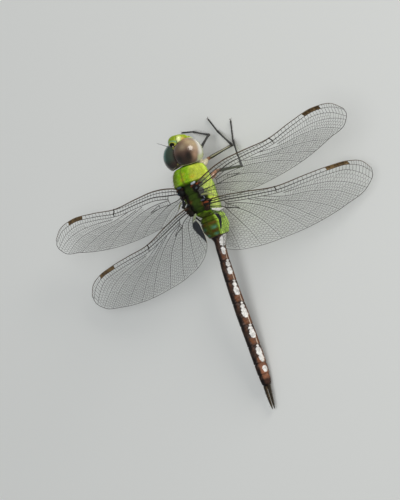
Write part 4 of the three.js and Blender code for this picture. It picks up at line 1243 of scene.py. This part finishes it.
    def cord(self, course, tint, middle, widths, steps, sides):
        """The pale cord by the body, widest at its middle."""
        line = self.lift(smooth_path(course, steps))
        radii = np.interp(np.linspace(0, 1, steps), (0, middle, 1), widths)
        self.shape.add(*tube(line, radii, sides, 0.5), tint)


def wing(pair, side, plan, *pose):
    name = f"{pair}_{side}"
    matrix = wing_frame(side, plan["root"], *pose)
    hind = pair == "hindwing"
    made = Wing(plan, *(INNER_EDGE[side] if hind else (0, 0)))
    sheet = Shape()
    sheet.add(*made.membrane(), (0.6, 0.6, 0.55))
    sheet.make(f"membrane_{name}", "wing", "wing_clear", [name], matrix)
    made.main_veins()
    made.nodus()
    made.cross_veins()
    made.stigma()
    if hind:
        made.membranule(side)
        made.cord(*CORDS[side], 0.45, (0.2, 0.48, 0.06), 24, 14)
    else:
        made.cord([(-0.8, 2.7), (0.6, 3.3), (2.2, 4.6)], (0.22, 0.23, 0.08), 0.4, (0.16, 0.22, 0.05), 20, 12)
    made.shape.make(f"veins_{name}", "vein", "wing_clear", matrix=matrix)


HINGES = {  # out, back and up from the wing's root, radii, the right side's tint and the left side's, which is the right side's in painted shade; the pale and blue-grey plates are painted highlights
    "forewing": [
        (-0.9, -0.1, -0.2, (1.35, 0.45, 0.5), NEAR_BLACK, NEAR_BLACK),
        (-0.3, -0.3, 0.6, (0.95, 0.24, 0.26), (0.07, 0.024, 0.012), (0.03, 0.024, 0.018)),
        (-1.35, 0.3, 0.8, (1.0, 0.95, 0.85), (0.012, 0.01, 0.009), (0.01, 0.01, 0.01)),
        # a small blue-grey painted glint
        (-1.0, 0.55, 1.5, (0.42, 0.26, 0.16), (0.07, 0.085, 0.095), (0.03, 0.04, 0.05)),
        # the pale blue-grey plate: a painted highlight on the black hinge
        (-1.35, -1.1, 1.15, (0.8, 0.34, 0.3), (0.42, 0.47, 0.5), (0.07, 0.095, 0.115)),
        (-0.65, -0.35, 1.0, (0.6, 0.26, 0.24), (0.17, 0.042, 0.016), (0.05, 0.02, 0.012)),
        (-2.1, -0.6, 1.1, (0.6, 0.28, 0.26), (0.1, 0.03, 0.014), (0.03, 0.014, 0.01)),
        (-0.75, 1.6, 0.15, (0.7, 0.75, 0.5), (0.016, 0.012, 0.01), (0.016, 0.012, 0.01)),
        (-0.9, 2.8, 0.45, (0.34, 0.9, 0.33), (0.015, 0.016, 0.02), (0.02, 0.02, 0.024)),
        # a thin painted highlight along the dark bar
        (-0.72, 3.3, 0.62, (0.12, 0.7, 0.14), (0.16, 0.18, 0.22), (0.03, 0.035, 0.045)),
    ],
    "hindwing": [
        (-0.9, -0.1, -0.2, (1.2, 0.45, 0.45), NEAR_BLACK, NEAR_BLACK),
        (0.1, 0.3, 0.0, (0.8, 0.32, 0.34), (0.012, 0.01, 0.009), (0.02, 0.014, 0.01)),
        (-0.8, 0.9, 0.15, (0.95, 0.85, 0.6), NEAR_BLACK, NEAR_BLACK),
        (-0.65, 0.5, 0.58, (0.75, 0.28, 0.2), (0.17, 0.04, 0.016), (0.04, 0.018, 0.012)),
        # a blue-grey painted glint
        (-1.6, -0.35, 0.4, (0.6, 0.26, 0.2), (0.09, 0.1, 0.13), (0.03, 0.035, 0.04)),
        (-0.95, 2.0, 0.05, (0.85, 0.7, 0.5), (0.022, 0.014, 0.01), (0.012, 0.01, 0.009)),
        (-0.5, 1.45, 0.5, (0.55, 0.2, 0.16), (0.07, 0.03, 0.014), (0.03, 0.018, 0.012)),
    ],
}


def wing_bases():
    """The hinge plates where each wing meets the back."""
    shape = Shape()
    for pair, side, plan, *pose in WINGS:
        matrix = wing_frame(side, plan["root"], *pose)
        for *centre, radii, right_lit_tint, left_shaded_tint in HINGES[pair]:
            p, faces = blob(centre, radii, 2.5, 36, 26)
            p = p + 0.07 * ripple(p, 2.6, 8)[:, None] * (0.6, 0.6, 1)
            # the left side's plates take the tints in painted shade
            shape.add(at(matrix, p), faces, right_lit_tint if side == "right" else left_shaded_tint)
    shape.make("wing_bases", "shell", "horn_dark")


# ---------------- hairs

HAIRS_TRIED = 1500
HAIR_LENGTH = 0.6
HAIR_LEAN = np.array([0, 0.5, 0])
HAIR_TINT = np.array([0.36, 0.34, 0.2])


def hair(shape, root, aim, patch):
    aim = unit(aim + HAIR_LEAN + rng.normal(size=3) * 0.22)
    size = HAIR_LENGTH * rng.uniform(0.6, 1.2)
    line = [root - aim * 0.05, root + aim * size * 0.55, root + (aim + HAIR_LEAN * 0.6) * size]
    strand = tube(line, (0.016, 0.012, 0.003), 3, round_end=False)
    shape.add(*strand, HAIR_TINT * rng.uniform(0.7, 1.3), patch)


def thorax_hairs():
    """Fine hairs on the thorax, but not on the platform between the wings."""
    roots = []
    for _ in range(HAIRS_TRIED):
        back = rng.uniform(-5.2, 8.2)
        ring = thorax_ring(back)
        k = rng.integers(len(ring))
        if ring[k, 2] <= 4.3 or back <= -1.4:
            aim = unit([ring[k, 0], -0.8 if back < -3.2 else 0, ring[k, 2] - 2.2])
            patch = (0.05 + 0.9 * (back + 5.3) / 13.7, 0.05 + 0.9 * k / len(ring))
            roots.append((ring[k], aim, patch))
    shape = Shape()
    for root in roots:
        hair(shape, *root)
    shape.make("thorax_hairs", "hair", "thorax_green", matrix=FORE, coat=True)


# ---------------- build

thorax()
collar()
abdomen()
tail()
eye("eye_left", 1)
eye("eye_right", -1)
face()
nape()
antenna("left", 1)
antenna("right", -1)
for row in LEGS:
    leg(*row)
for row in WINGS:
    wing(*row)
wing_bases()
thorax_hairs()

# ---------------- floor, light and camera


def add_object(name, data):
    made = bpy.data.objects.new(name, data)
    bpy.context.scene.collection.objects.link(made)
    return made


def backdrop():
    mesh = bpy.data.meshes.new("floor")
    half = 3.0
    corners = [(-half, -half, 0), (half, -half, 0), (half, half, 0), (-half, half, 0)]
    mesh.from_pydata(corners, [], [(0, 1, 2, 3)])
    made, _, bsdf = shader("studio_floor", 0.75)
    bsdf.inputs["Base Color"].default_value = (0.69, 0.7, 0.68, 1)
    mesh.materials.append(made)
    floor = add_object("floor", mesh)
    floor.location.z = -0.02 * MM


def lamp(name, place, size, power, colour, mirrored=True):
    light = bpy.data.lights.new(name, "AREA")
    light.shape, light.size, light.energy, light.color = "DISK", size, power, colour
    made = add_object(name, light)
    made.location = place
    made.visible_glossy = mirrored
    made.rotation_mode = "QUATERNION"
    made.rotation_quaternion = (-Vector(place)).to_track_quat("-Z", "Y")


def camera():
    toward = np.array((-0.62753, 0.18914, 0.75527))
    right = np.array((-0.71917, 0.23087, -0.65535))
    up = np.array((-0.29831, -0.95442, -0.00885))
    distance, aside, below = 1400, 1.996, 17.7
    where = BODY[:3, 3] + toward * distance - right * aside - up * below
    data = bpy.data.cameras.new("camera")
    data.sensor_width, data.lens = 36, 384.05
    data.clip_start, data.clip_end = 0.05, 20
    made = add_object("camera", data)
    axes = Matrix([[*row] for row in np.stack([right, up, toward], 1)])
    made.matrix_world = Matrix.Translation(Vector(where * MM)) @ axes.to_4x4()
    bpy.context.scene.camera = made


def sky():
    world = bpy.data.worlds.new("studio")
    world.use_nodes = True
    background = world.node_tree.nodes["Background"]
    background.inputs["Color"].default_value = (0.93, 0.96, 1.0, 1)
    background.inputs["Strength"].default_value = 0.24
    bpy.context.scene.world = world


backdrop()
camera()
lamp("key", (-0.86, -0.42, 0.24), size=0.48, power=6.9, colour=(1.0, 0.965, 0.91))
lamp("fill", (-0.35, 0.0, 1.0), size=1.2, power=7.6, colour=(0.98, 0.99, 1.0), mirrored=False)
sky()
bpy.context.scene.view_settings.view_transform = "Standard"
